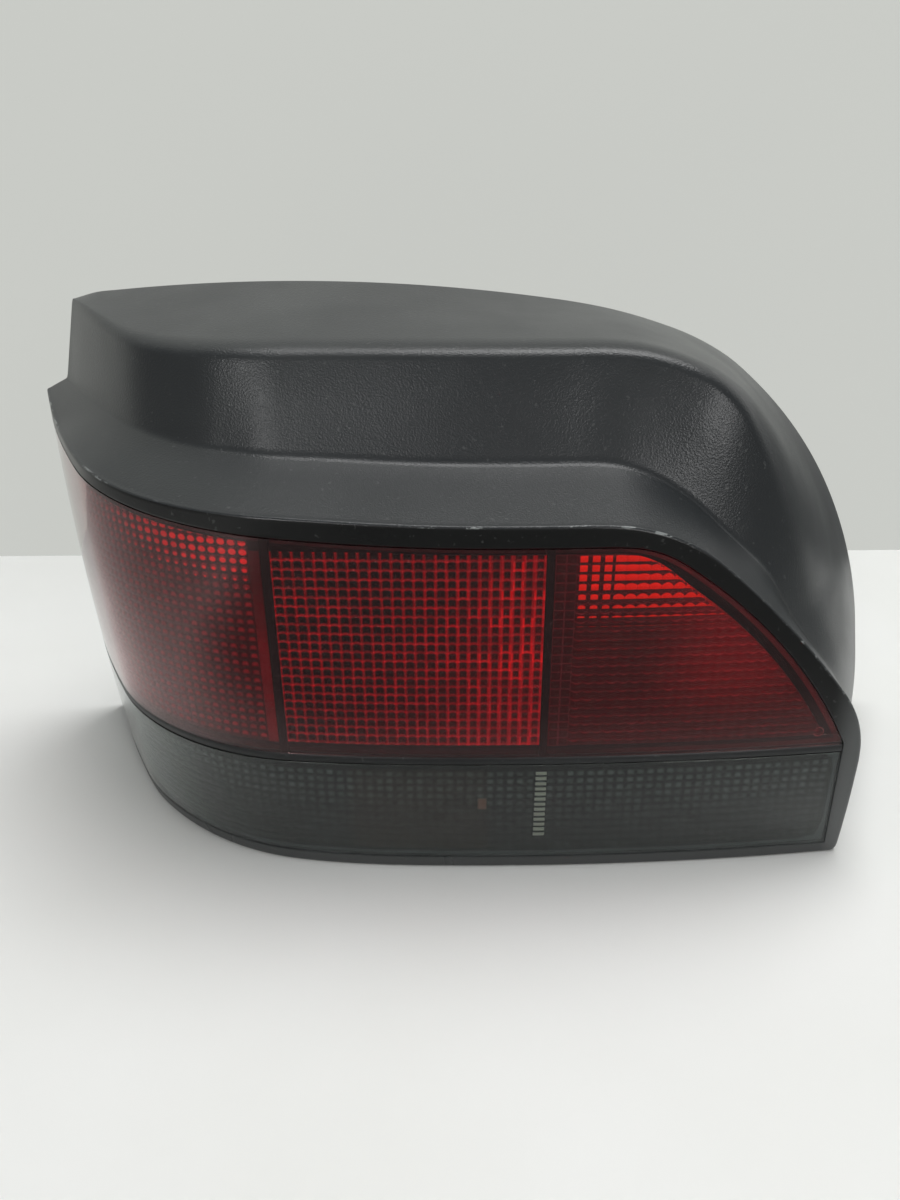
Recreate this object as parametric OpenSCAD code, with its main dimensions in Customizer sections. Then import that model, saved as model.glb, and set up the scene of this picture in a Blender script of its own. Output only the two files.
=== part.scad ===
// Rear corner lamp of a small hatchback: a hooded housing with a red upper lens
// and a smoked lower lens that wrap round the corner of the body.
// The lamp stands on its flat base. X runs along the rear of the car, the lens
// faces -Y and the mounting studs leave toward +Y.

/* [Lens skin] */
// Radius of the gently bowed front of the lens, seen from above
front_r = 1180; // [1150:10:1210]
// Turn of the front arc at its left end, in degrees
front_turn = 3.9; // [3.7:0.1:4.1]
// Radius of the rounded corner, seen from above
corner_r = 106; // [103:1:109]
// Heading at the end of the corner, in degrees
corner_turn = 58.5; // [57.5:0.5:59.5]
// Radius of the side of the lens, seen from above
side_r = 530; // [510:10:550]
// Radius by which the corner and side tuck in toward the base
tuck_r = 1470; // [1400:10:1600]
// Height under which the tuck begins
tuck_z = 150; // [145:1:152]
// Thickness of both lenses
lens_t = 2.5; // [2.2:0.1:2.8]
// Height of the red lens's flat top edge
lens_top = 136.7; // [135:0.1:138]
// Rise of the top edge toward the side of the car
top_rise = 20; // [17:0.5:21]
// Underside of the strip between the lenses
strip_z = 49; // [48:0.5:50]
// Height of the strip between the lenses
strip_h = 3.5; // [3:0.5:4]
// Lower edge of the smoked lens
lens_base = 5.2; // [5:0.1:5.6]
// Gap between a lens and its frame
lens_gap = 0.4; // [0.3:0.05:0.5]

/* [Hood] */
// Depth from the front of the lens to the mounting plane
hood_y = 126; // [124:1:128]
// Height of the back edge at its peak
hood_z = 211.4; // [209:0.2:213]
// Wall thickness of the hood
wall_t = 2.2; // [2:0.1:2.4]
// Width of the black frame over the top edge
frame_w = 8.4; // [8:0.1:9]
// Rise of the ledge above the frame
ledge_rise = 12; // [11:0.5:13]
// Depth of the ledge
ledge_d = 32.6; // [31:0.2:34]
// Height of the upper crease
crease_z = 196.6; // [195:0.2:198]
// Depth of the upper crease
crease_d = 46; // [45:0.5:48]

/* [Lamp chambers] */
// Depth of the flat back panel's front face
panel_y = 62; // [61:0.5:64]
// Thickness of the back panel
panel_t = 2.5; // [2.3:0.1:3]
// Middle of the left partition
bar_left_x = -64.2; // [-65:0.1:-63.5]
// Thickness of the left partition
bar_left_t = 4.5; // [4:0.1:4.8]
// Middle of the right partition
bar_right_x = 34.8; // [34:0.1:35.5]
// Thickness of the right partition
bar_right_t = 3.5; // [3:0.1:3.8]
// Pitch of the reflex prisms
prism_pitch = 3.8; // [3.6:0.1:4]

/* [Bulbs] */
// Diameter of a bulb's glass
glass_d = 26; // [25:0.5:27]
// Diameter of a bulb's cap
cap_d = 15; // [14.8:0.1:15.2]
// Length of a bulb from its contact to its tip
bulb_len = 50; // [48:0.5:52]
// Hole in the back panel for each bulb
bulb_hole_d = 28; // [27.5:0.1:28.5]
// Height of the upper bulbs
bulb_top_z = 92; // [90:1:94]
// Height of the lower bulbs
bulb_low_z = 27; // [26:0.5:28]

/* [Fixings] */
// Thread diameter of the studs
stud_d = 6; // [5.8:0.1:6.2]
// Length of stud beyond the mounting plane
stud_out = 22; // [20:1:24]
// Height of the two upper studs
stud_top_z = 127; // [126:0.5:128]
// Left upper stud, along X
stud_left_x = -44; // [-46:1:-42]
// Right upper stud, along X
stud_right_x = 68; // [66:1:70]
// Lower stud, along X
stud_low_x = 116; // [114:1:118]
// Height of the lower stud
stud_low_z = 34; // [32:1:36]
// Diameter of the stud's root, moulded into its tower
root_d = 7; // [6.8:0.1:7.4]
// Diameter of a stud's moulded tower
tower_d = 16; // [15:0.5:17]

/* [Hidden] */
$fn = 64;

// Blends and ramps between two stations
function clip01(v) = min(1, max(0, v));
function ramp(a, b, v) = clip01((v - a) / (b - a));
function ease(a, b, v) = let (t = ramp(a, b, v)) t * t * (3 - 2 * t);
function mix(p, q, t) = p + (q - p) * t;

// A path of arcs [radius, end heading] and straights [0, length], falling to the right.
// It gives the point and the heading at the distance s from its start [x, z, heading].
function turned(p, r, b) = [p[0] + r * (sin(b) - sin(p[2])), p[1] - r * (cos(p[2]) - cos(b)), b];
function seg_len(p, g) = g[0] == 0 ? g[1] : g[0] * (g[1] - p[2]) * PI / 180;
function seg_at(p, g, s) = g[0] == 0
    ? [p[0] + s * cos(p[2]), p[1] - s * sin(p[2]), p[2]]
    : turned(p, g[0], p[2] + s / g[0] * 180 / PI);
function path_at(p, segs, s, i = 0) = let (n = seg_len(p, segs[i]))
    s <= n || i == len(segs) - 1 ? seg_at(p, segs[i], min(s, n))
    : path_at(seg_at(p, segs[i], n), segs, s - n, i + 1);
function path_len(p, segs, i = 0) = i == len(segs) ? 0
    : let (n = seg_len(p, segs[i])) n + path_len(seg_at(p, segs[i], n), segs, i + 1);

// Plan of the lens skin: three tangent arcs, with the station u measured along it
// from the front-most point toward the side of the car
front_x = 19.7;
function nrm(a) = [sin(a), cos(a)];
c_front = [front_x, front_r];
c_corner = c_front - (front_r - corner_r) * nrm(front_turn);
c_side = c_corner - (corner_r - side_r) * nrm(corner_turn);
u_front = front_r * front_turn * PI / 180;
u_corner = u_front + corner_r * (corner_turn - front_turn) * PI / 180;
function heading(u) = u < u_front ? u / front_r * 180 / PI
    : u < u_corner ? front_turn + (u - u_front) / corner_r * 180 / PI
    : corner_turn + (u - u_corner) / side_r * 180 / PI;
function plan(u, d) = u < u_front ? c_front - (front_r - d) * nrm(heading(u))
    : u < u_corner ? c_corner - (corner_r - d) * nrm(heading(u))
    : c_side - (side_r - d) * nrm(heading(u));
function tuck(u, z) = ease(40, 160, u) * pow(max(0, tuck_z - z), 2) / (2 * tuck_r);
function skin(u, z, d) = let (p = plan(u, d + tuck(u, z))) [p[0], p[1], z];
function u_of_x(x) = front_r * asin((front_x - x) / front_r) * PI / 180;
function front_pt(x, z, d) = [x, front_r - sqrt(pow(front_r, 2) - pow(x - front_x, 2)) + d, z];

// Station where the skin, inset by d, meets the mounting plane
function u_back(d) = u_corner + side_r * (acos((c_side[1] - hood_y) / (side_r - d))
    - corner_turn) * PI / 180;
u_end = u_back(0);
lens_x = 151.2;
u_right = u_of_x(lens_x + 0.8);
// The same station for a point at height z and inset d, and the lens's own left end
function u_plane(z, d) = u_back(d + tuck(u_end, z));
function side_u(u, e) = u < u_corner ? u : mix(u_corner, e, (u - u_corner) / (u_end - u_corner));
function lens_u(u, z, o) = side_u(u, u_plane(z, 0) - 6.6 + o);

// Top edges, from the middle toward the side of the car
function top_z(u) = lens_top + top_rise * (1 - cos(180 * ramp(0, 300, u))) / 2;
function frame_wd(u) = frame_w - 2.4 * ease(60, 150, u) + 4.5 * ease(225, u_end, u);
function frame_z(u) = top_z(u) + frame_wd(u);
function ledge_z(u) = top_z(u) + frame_w - 2.4 * ease(60, 150, u) + ledge_rise
    - 3 * ease(100, 262, u);
function ledge_in(u) = ledge_d - 2.2 * ease(40, 110, u) - 21 * ramp(110, 262, u);
function crease_h(u) = crease_z + 8 * ease(150, 262, u);
function crease_in(u) = crease_d - 17 * ease(50, 200, u) - 12 * ramp(150, 262, u);

// Falling edges at the right: lens corner, frame, and the hood's back edge
lens_p = [58.5, lens_top, 0];
lens_arcs = [[40, 33], [205, 62.6]];
frame_p = [52, lens_top + frame_w, 0];
frame_arcs = [[67, 40], [370, 52], [49, 90]];
bow_r = 840;
back_p = [-70, hood_z, 0];
back_arcs = [[bow_r, 8.4], [235, 23], [75, 36], [193, 61], [232, 82]];
crease_p = [60, crease_z, 0];
crease_arcs = [[75, 40], [150, 75], [300, 86]];
lens_len = path_len(lens_p, lens_arcs);
frame_len = path_len(frame_p, frame_arcs);
back_len = path_len(back_p, back_arcs);
crease_len = path_len(crease_p, crease_arcs);
back_end = path_at(back_p, back_arcs, back_len);
hood_x = back_end[0] + 2;
back_s = bow_r * asin((frame_p[0] - back_p[0]) / bow_r) * PI / 180;
function lens_s(t) = path_at(lens_p, lens_arcs, (1 - t) * lens_len);
function frame_s(t) = path_at(frame_p, frame_arcs, (1 - t) * frame_len);
function back_st(t) = path_at(back_p, back_arcs, mix(back_len, back_s, pow(t, 1.3)));
function crease_s(t) = path_at(crease_p, crease_arcs, (1 - t) * crease_len);
lens_cor = lens_s(0);
frame_cor = frame_s(0);

// The lamp is drawn from its front-most point and then set on the middle of its base
left_x = plan(u_end - 1.2, 0)[0];
mid_x = (left_x + hood_x) / 2;
mid_y = (hood_y + stud_out) / 2;
module place() { translate([-mid_x, -mid_y, 0]) children(); }

// Plan of the chambers' back: flat, a corner arc and a straight run to the side
back_flat_x = -98;
back_turn_r = 40;
back_turn_a = 58;
e_end_y = hood_y - 4;
e_x0 = plan(u_front, 0)[0];
e_flat = e_x0 - back_flat_x;
e_arc = back_turn_r * back_turn_a * PI / 180;
e_arc_x = back_flat_x - back_turn_r * sin(back_turn_a);
e_arc_y = panel_y + back_turn_r * (1 - cos(back_turn_a));
e_total = e_flat + e_arc + (e_end_y - e_arc_y) / sin(back_turn_a);
function e_path(w) = w < e_flat ? [e_x0 - w, panel_y, 0]
    : w < e_flat + e_arc ? let (a = (w - e_flat) / back_turn_r * 180 / PI)
        [back_flat_x - back_turn_r * sin(a), panel_y + back_turn_r * (1 - cos(a)), a]
    : let (k = w - e_flat - e_arc)
        [e_arc_x - k * cos(back_turn_a), e_arc_y + k * sin(back_turn_a), back_turn_a];
function e_plan(u) = u < u_front ? [plan(u, 0)[0], panel_y, 0]
    : e_path((u - u_front) * e_total / (u_end - u_front));
function e_pt(u, z) = let (p = e_plan(u)) [p[0], p[1], z];
function e_left(o, z) = let (p = e_plan(u_end)) [p[0] - o / tan(back_turn_a), p[1] + o, z];

// Stations round the frame: base, right edge, falling edge, top, left end
n_base = 26;
n_right = 4;
n_slant = 16;
n_top = 24;
left_t = [0, 0.008, 0.018, 0.28, 0.52, 0.76, 1];
n_left = len(left_t) - 1;
function st_base(i) = i <= 4 ? mix(u_end, u_corner, i / 4)
    : i <= 16 ? mix(u_corner, u_front, (i - 4) / 12) : mix(u_front, u_right, (i - 16) / 10);
function st_top(j, x) = j <= 8 ? mix(u_of_x(x), u_front, j / 8)
    : j <= 20 ? mix(u_front, u_corner, (j - 8) / 12) : mix(u_corner, u_end, (j - 20) / 4);

// The lens's outline, moved outward by o and in from the skin by d
function edge_slant(t, o, d) = let (p = lens_s(t))
    front_pt(p[0] + o * sin(p[2]), p[1] + o * cos(p[2]), d);
function edge_top(j, o, d) = let (u = st_top(j, lens_p[0]), z = top_z(u) + o)
    skin(lens_u(u, z, o), z, d);
function edge_ring(o, d) = concat(
    [for (i = [0 : n_base - 1]) let (z = lens_base - o) skin(lens_u(st_base(i), z, o), z, d)],
    [for (i = [0 : n_right - 1]) let (t = i / n_right)
        front_pt(mix(lens_x, lens_cor[0], t) + o,
            i == 0 ? lens_base - o : mix(lens_base, lens_cor[1], t), d)],
    [for (i = [0 : n_slant - 1]) edge_slant(i / n_slant, o, d)],
    [for (j = [0 : n_top]) edge_top(j, o, d)],
    [for (i = [1 : n_left - 1]) let (z = mix(top_z(u_end) + o, lens_base - o, left_t[i]))
        skin(lens_u(u_end, z, o), z, d)]);

// The same outline at the back of the chambers
function back_ring(o) = concat(
    [e_left(o, lens_base - o)],
    [for (i = [1 : n_base - 1]) e_pt(st_base(i), lens_base - o)],
    [for (i = [0 : n_right - 1]) let (t = i / n_right)
        [mix(lens_x, lens_cor[0], t) + o, panel_y,
            i == 0 ? lens_base - o : mix(lens_base, lens_cor[1], t)]],
    [for (i = [0 : n_slant - 1]) let (p = lens_s(i / n_slant))
        [p[0] + o * sin(p[2]), panel_y, p[1] + o * cos(p[2])]],
    [for (j = [0 : n_top - 1]) let (u = st_top(j, lens_p[0])) e_pt(u, top_z(u) + o)],
    [e_left(o, top_z(u_end) + o)],
    [for (i = [1 : n_left - 1]) e_left(o, mix(top_z(u_end) + o, lens_base - o, left_t[i]))]);

// The frame's outer edge, moved inward over its face by o and in from the skin by d
function frame_x(t) = frame_cor[0] - 1.8 * pow(1 - t, 2);
function frame_u(u, z, o, d) = side_u(u, u_plane(z, d) - o);
function frame_ring(o, d) = concat(
    [for (i = [0 : n_base - 1]) skin(frame_u(st_base(i), o, o, d), o, d)],
    [for (i = [0 : n_right - 1]) let (t = i / n_right)
        front_pt(frame_x(t) - o, i == 0 ? o : frame_cor[1] * t, d)],
    [for (i = [0 : n_slant - 1]) let (p = frame_s(i / n_slant))
        front_pt(p[0] - o * sin(p[2]), p[1] - o * cos(p[2]), d)],
    [for (j = [0 : n_top]) let (u = st_top(j, frame_p[0]), z = frame_z(u) - o)
        skin(frame_u(u, z, o, d), z, d)],
    [for (i = [1 : n_left - 1]) let (z = mix(frame_z(u_end) - o, o, left_t[i]))
        skin(frame_u(u_end, z, o, d), z, d)]);

// The hood at each station: ledge crease, upper crease, back edge, and the same three
// points on the inside of its wall
function base_pts(i) = let (e = skin(u_plane(0, 0), 0, 0)[0], a = skin(frame_u(st_base(i), 0, 0, 0), 0, 0),
        g = (a[0] - e) / (frame_x(0) - e), x = mix(e + 3.2, hood_x, g),
        fb = mix(0.65, 0.12, ramp(0, 3, i)), fc = mix(0.85, 0.5, ramp(0, 3, i)),
        w = i == 0 ? 0.7 : 0, xi = mix(e + 5.4, hood_x - wall_t, g))
    [[mix(a[0], x, fb), mix(a[1], hood_y, 0.22) - w, 0],
     [mix(a[0], x, fc), mix(a[1], hood_y, 0.55) - w / 2, 0],
     [x, hood_y, 0], [xi, hood_y, wall_t],
     [i == 0 ? xi + 0.3 : mix(a[0], xi, fc), mix(a[1], hood_y, 0.55) - w, wall_t],
     [i == 0 ? xi + 0.3 : mix(a[0], xi, fb), mix(a[1], hood_y, 0.22) - 2 * w, wall_t]];
function right_pts(i) = let (t = i / n_right, z = frame_cor[1] * t, b = frame_x(t) + 0.9,
        x = mix(hood_x, back_end[0], t), y = back_end[1] * t, zi = i == 0 ? wall_t : 0)
    [[b, 28, z], [mix(b, x, 0.4), 60, mix(z, y, 0.4)], [x, hood_y, y],
     [x - wall_t, hood_y, y + zi], [mix(b, x, 0.4) - wall_t, 61, mix(z, y, 0.4) + zi],
     [b - wall_t, 30, z + zi]];
function slant_pts(i) = let (t = i / n_slant, a = frame_s(t), q = back_st(t), c = crease_s(t),
        k = 0.9 + 5.6 * ease(0.34, 0.58, t) + (ledge_rise - 6.5) * ease(0.66, 0.97, t),
        b = [a[0] + k * sin(a[2]), a[1] + k * cos(a[2])], yb = 28 + (ledge_d - 28) * ease(0.6, 1, t),
        m = ease(0.35, 0.8, t), h = mix(a[2], c[2], m),
        r = [mix(mix(b[0], q[0], 0.4), c[0], m), mix(mix(b[1], q[1], 0.4), c[1], m)],
        yc = 60 - 22 * ease(0.1, 0.75, t) + (crease_d - 38) * ease(0.75, 1, t))
    [[b[0], yb, b[1]], [r[0], yc, r[1]], [q[0], hood_y, q[1]],
     [q[0] - wall_t * sin(q[2]), hood_y, q[1] - wall_t * cos(q[2])],
     [r[0] - 2.4 * sin(h), yc + 1.5, r[1] - 2.4 * cos(h)],
     [b[0] - wall_t * sin(a[2]), yb + 2, b[1] - wall_t * cos(a[2])]];
function top_back(j) = let (x = mix(52, left_x + 20.67, j / n_top))
    [x, hood_y, hood_z - bow_r + sqrt(pow(bow_r, 2) - pow(x - back_p[0], 2)) - (j == n_top ? 1.5 : 0)];
function top_pts(j) = let (u = st_top(j, 52), v = st_top(j, 60), q = top_back(j),
        zb = ledge_z(u), zc = crease_h(v), db = ledge_in(u), dc = crease_in(v),
        eb = ledge_in(u_end), ec = crease_in(u_end))
    [skin(side_u(u, u_back(eb)), zb, db), skin(side_u(v, u_back(ec)), zc, dc), q,
     q + [j == n_top ? wall_t : 0, 0, -wall_t],
     skin(side_u(v, u_back(ec) - 4), zc - 2.7, dc + 2),
     skin(side_u(u, u_back(eb) - 4), zb - 2.6, db + 1.6)];
function left_pts(i) = let (z = frame_z(u_end) * (1 - left_t[i]), x = skin(u_plane(z, 0), z, 0)[0],
        b = top_pts(n_top)[0])
    i == 1 ? [b + [0.4, 0, -1.2], b + [1.2, 0, -1.2], b + [2.6, 0, -2.6], b + [4.8, 0, -4.4],
        b + [4.6, -0.8, -5], b + [3.8, -1.5, -5.6]]
    : [[x + 2, hood_y, z], [x + 2.6, hood_y, z], [x + 3.2, hood_y, z], [x + 5.4, hood_y, z],
     [x + 5.7, hood_y - 0.7, z], [x + 5.7, hood_y - 1.4, z]];
hood = concat([for (i = [0 : n_base - 1]) base_pts(i)], [for (i = [0 : n_right - 1]) right_pts(i)],
    [for (i = [0 : n_slant - 1]) slant_pts(i)], [for (j = [0 : n_top]) top_pts(j)],
    [for (i = [1 : n_left - 1]) left_pts(i)]);
n_ring = len(hood);

// Softness of the upper crease, as the share of each side that its curve takes
function soft(k) = let (s = n_base + n_right) k < s ? 0.5
    : k < s + n_slant ? mix(0.6, 0.13, ease(0.3, 0.85, (k - s) / n_slant))
    : k <= s + n_slant + n_top ? 0.13 : 0.4;
function bend(b, c, d, f, t) = let (p = mix(c, b, f), q = mix(c, d, f))
    mix(mix(p, c, t), mix(c, q, t), t);
function crease_ring(t) = [for (k = [0 : n_ring - 1])
    bend(hood[k][0], hood[k][1], hood[k][2], soft(k), t)];
function inner_ring(t) = [for (k = [0 : n_ring - 1])
    bend(hood[k][3], hood[k][4], hood[k][5], soft(k), t)];
function hood_ring(n) = [for (k = [0 : n_ring - 1]) hood[k][n]];

// A closed band through rings of equal length, and a slab between two grids of points
module band(rings) {
    m = len(rings);
    n = len(rings[0]);
    polyhedron([for (r = rings, p = r) p],
        [for (a = [0 : m - 1], k = [0 : n - 1], h = [0, 1]) let (b = (a + 1) % m, l = (k + 1) % n)
            h == 0 ? [a * n + k, a * n + l, b * n + k] : [a * n + l, b * n + l, b * n + k]],
        convexity = 12);
}
module slab(front, back) {
    c = len(front);
    r = len(front[0]);
    s = c * r;
    function quad(p, q, v, w) = [[p, q, v], [p, v, w]];
    sides = concat(
        [for (i = [0 : c - 2], j = [0 : r - 2]) let (p = i * r + j)
            each quad(p, p + 1, p + r + 1, p + r)],
        [for (i = [0 : c - 2], j = [0 : r - 2]) let (p = s + i * r + j)
            each quad(p, p + r, p + r + 1, p + 1)],
        [for (i = [0 : c - 2]) let (p = i * r) each quad(p, p + r, s + p + r, s + p)],
        [for (i = [0 : c - 2]) let (p = i * r + r - 1) each quad(p, s + p, s + p + r, p + r)],
        [for (j = [0 : r - 2]) each quad(j, s + j, s + j + 1, j + 1)],
        [for (j = [0 : r - 2]) let (p = s - r + j) each quad(p, p + 1, s + p + 1, s + p)]);
    polyhedron(concat([for (q = front, p = q) p], [for (q = back, p = q) p]), sides,
        convexity = 8);
}

// Moulded housing: frame, ledge, hood, chamber walls and the seat of the lenses in one shell
seat_d = lens_t + 0.9;
module housing() {
    color([0.19, 0.2, 0.21]) place() band([
        edge_ring(lens_gap, 0.3), edge_ring(lens_gap + 0.5, 0), frame_ring(1.2, 0),
        frame_ring(0, 1.2), hood_ring(0), crease_ring(0), crease_ring(0.33), crease_ring(0.67),
        crease_ring(1), hood_ring(2), hood_ring(3), inner_ring(0), inner_ring(0.5),
        inner_ring(1), hood_ring(5),
        frame_ring(2.2, 4), edge_ring(1.7, 6), back_ring(1.7), back_ring(-0.5),
        edge_ring(-0.5, 6), edge_ring(-3, 6), edge_ring(-3, seat_d), edge_ring(lens_gap, seat_d)]);
}

// Lenses: slabs that follow the skin between their lower and upper edges
red_low = strip_z + strip_h + 0.1;
red_rows = [0, 0.2, 0.4, 0.6, 0.8, 1];
red_t = concat([for (i = [n_slant - 1 : -1 : 1]) i / n_slant], [0.01]);
function red_col(j, d) = let (u = st_top(j, lens_p[0]))
    [for (k = red_rows) let (z = mix(red_low, top_z(u), k)) skin(lens_u(u, z, 0), z, d)];
function red_fall(t, d) = let (p = lens_s(t))
    [for (k = red_rows) front_pt(p[0], mix(red_low, p[1], k), d)];
function red_grid(d) = concat([for (j = [n_top : -1 : 0]) red_col(j, d)],
    [for (t = red_t) red_fall(t, d)]);
module red_lens() {
    color([0.62, 0.03, 0.05]) place() slab(red_grid(0), red_grid(lens_t));
}
function right_x(z) = mix(lens_x, lens_cor[0], (z - lens_base) / (lens_cor[1] - lens_base));
function smoke_col(i, d) = [for (k = [0, 0.33, 0.67, 1]) let (z = mix(lens_base, strip_z - 0.1, k))
    i == n_base ? front_pt(right_x(z), z, d) : skin(lens_u(st_base(i), z, 0), z, d)];
module smoked_lens() {
    color([0.16, 0.17, 0.17]) place()
        slab([for (i = [0 : n_base]) smoke_col(i, 0)], [for (i = [0 : n_base]) smoke_col(i, lens_t)]);
}

// Black strip between the lenses, with its web running back to the panel
strip_end = 3.1;
function strip_col(i, z) = let (u = st_base(i), e = i == 0 ? e_left(-strip_end, z) : e_pt(u, z))
    i == n_base ? [front_pt(right_x(z), z, 0), front_pt(right_x(z), z, lens_t - 0.1),
        front_pt(lens_x - 3.9, z, lens_t), [lens_x - 3.9, panel_y, z]]
    : [skin(lens_u(u, z, 0), z, 0), skin(lens_u(u, z, 0), z, lens_t - 0.1),
        skin(lens_u(u, z, -strip_end), z, lens_t), e];
module lens_divider() {
    color([0.12, 0.12, 0.12]) place()
        slab([for (i = [0 : n_base]) strip_col(i, strip_z + strip_h)],
            [for (i = [0 : n_base]) strip_col(i, strip_z)]);
}

// Sealing bead between the lenses and their seat
module lens_seal() {
    color([0.08, 0.08, 0.08]) place() band([edge_ring(-2.8, lens_t + 0.1),
        edge_ring(-0.4, lens_t + 0.1), edge_ring(-0.4, seat_d - 0.1),
        edge_ring(-2.8, seat_d - 0.1)]);
}

// Upright chamber walls: their front edges follow the skin, clear of the lens and its seat
wall_top = 0.8;
wall_gap = 0.8;
function wall_front(u, z) = [skin(u, z, lens_t + wall_gap)[1], z];
module partition(x, t) {
    u = u_of_x(x);
    translate([x - t / 2, 0, 0]) rotate([90, 0, 90]) linear_extrude(t)
        polygon(concat([for (k = [0 : 6]) wall_front(u, mix(strip_z + strip_h, top_z(u) - 3.2, k / 6))],
            [wall_front(u, top_z(u) - 3.2) + [6, 0], wall_front(u, top_z(u) - 3.2) + [6, 3.2 - wall_top],
             [panel_y, top_z(u) - wall_top], [panel_y, strip_z + strip_h]]));
    translate([x - t / 2, 0, 0]) rotate([90, 0, 90]) linear_extrude(t)
        polygon(concat([for (k = [0 : 4]) wall_front(u, mix(lens_base + 3.2, strip_z, k / 4))],
            [[panel_y, strip_z], [panel_y, lens_base + wall_top],
             wall_front(u, lens_base) + [6, wall_top], wall_front(u, lens_base) + [6, 3.2]]));
}
module partitions() {
    color([0.1, 0.1, 0.1]) place() {
        partition(bar_left_x, bar_left_t);
        partition(bar_right_x, bar_right_t);
    }
}

// Reflex plate behind the middle of the red lens: upright prisms on its back, in a black tray
mid_left = bar_left_x + bar_left_t / 2;
mid_right = bar_right_x - bar_right_t / 2;
reflex_y = 9.6;
reflex_t = 3.2;
prism_n = floor((mid_right - mid_left - 2) / prism_pitch);
prism_0 = (mid_left + mid_right - prism_n * prism_pitch) / 2;
reflex_z = strip_z + strip_h;
reflex_h = lens_top - wall_top - 0.2 - reflex_z;
module reflex_plate() {
    color([0.6, 0.03, 0.04]) place() translate([0, 0, reflex_z]) linear_extrude(reflex_h)
        polygon(concat([[mid_left, reflex_y], [mid_left, reflex_y + reflex_t]],
            [for (i = [0 : prism_n - 1], k = [0, 0.5])
                [prism_0 + (i + k) * prism_pitch, reflex_y + reflex_t - (k > 0 ? prism_pitch / 2 : 0)]],
            [[prism_0 + prism_n * prism_pitch, reflex_y + reflex_t],
             [mid_right, reflex_y + reflex_t], [mid_right, reflex_y]]));
}
module reflex_tray() {
    color([0.1, 0.1, 0.1]) place() difference() {
        translate([mid_left, reflex_y + reflex_t, reflex_z])
            cube([mid_right - mid_left, 4, reflex_h]);
        translate([mid_left + 3, reflex_y + reflex_t - 1, reflex_z + 3])
            cube([mid_right - mid_left - 6, 3, reflex_h - 6]);
    }
}

// Bulb places [x, z]
tail_at = [-81, bulb_top_z];
fog_at = [68, bulb_top_z];
turn_at = [-14, bulb_low_z];
reverse_at = [76, bulb_low_z];
bulbs_at = [tail_at, fog_at, turn_at, reverse_at];
panel_b = panel_y + panel_t;
module at(p, y) { translate([p[0], y, p[1]]) rotate([90, 0, 0]) children(); }

// Back panel: follows the chambers' back, with the stud towers and the carrier's hooks
plan_front = concat([e_left(1.7, 0)], [for (i = [1 : n_base - 1]) e_pt(st_base(i), 0)],
    [[lens_x + 1.7, panel_y, 0]]);
plan_turn = concat([back_turn_a], [for (i = [1 : n_base - 1]) e_plan(st_base(i))[2]], [0]);
function plan_off(k, t) = [plan_front[k][0] + t * sin(plan_turn[k]),
    plan_front[k][1] + t * cos(plan_turn[k])];
elevation = concat([[e_left(1.7, 0)[0], lens_base - 1.7], [lens_x + 1.7, lens_base - 1.7]],
    [for (i = [0 : n_slant - 1]) let (p = lens_s(i / n_slant))
        [p[0] + 1.7 * sin(p[2]), p[1] + 1.7 * cos(p[2])]],
    [for (j = [0 : n_top - 1]) let (u = st_top(j, lens_p[0])) [e_plan(u)[0], top_z(u) + 1.7]],
    [[e_left(1.7, 0)[0], top_z(u_end) + 1.7]]);
studs_at = [[stud_left_x, stud_top_z], [stud_right_x, stud_top_z], [stud_low_x, stud_low_z]];
stud_in = 28;
tower_y = hood_y - 2;
car_x0 = back_flat_x;
car_x1 = reverse_at[0] + 20;
car_z0 = bulb_low_z - 18;
car_z1 = bulb_top_z + 22;
seal_t = 1.5;
car_t = 2.5;
car_y = panel_b + seal_t;
car_b = car_y + car_t;
hook_x = [-52, 30];
vent_at = [lens_x - 19.2, 66];
module hook(x, z, s) {
    translate([x - 6, panel_b - 0.5, z + (s > 0 ? 0.2 : -3.2)]) cube([12, car_b + 3 - panel_b, 3]);
    translate([x - 6, car_b, z + (s > 0 ? -2 : -3.2)]) cube([12, 2.5, 5.2]);
}
module back_panel() {
    color([0.13, 0.13, 0.13]) place() difference() {
        union() {
            intersection() {
                linear_extrude(200) polygon(concat([for (k = [0 : len(plan_front) - 1]) plan_off(k, 0)],
                    [for (k = [len(plan_front) - 1 : -1 : 0]) plan_off(k, panel_t)]));
                translate([0, 150, 0]) rotate([90, 0, 0]) linear_extrude(140) polygon(elevation);
            }
            for (p = studs_at) {
                at(p, tower_y) cylinder(d = tower_d, h = tower_y - panel_b + 0.5);
                translate([p[0] - 1, panel_b - 0.5, p[1] - tower_d / 2 - 4])
                    cube([2, 26, tower_d + (p[1] > 100 ? 4 : 8)]);
            }
            for (x = hook_x) {
                hook(x, car_z1, 1);
                hook(x, car_z0, -1);
            }
        }
        for (p = bulbs_at) at(p, panel_b + 1) cylinder(d = bulb_hole_d, h = panel_t + 2);
        for (p = studs_at) at(p, tower_y + 1) cylinder(d = root_d, h = stud_in + 1);
        at(vent_at, panel_b + 1) cylinder(d = 4, h = panel_t + 2);
    }
}

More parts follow.
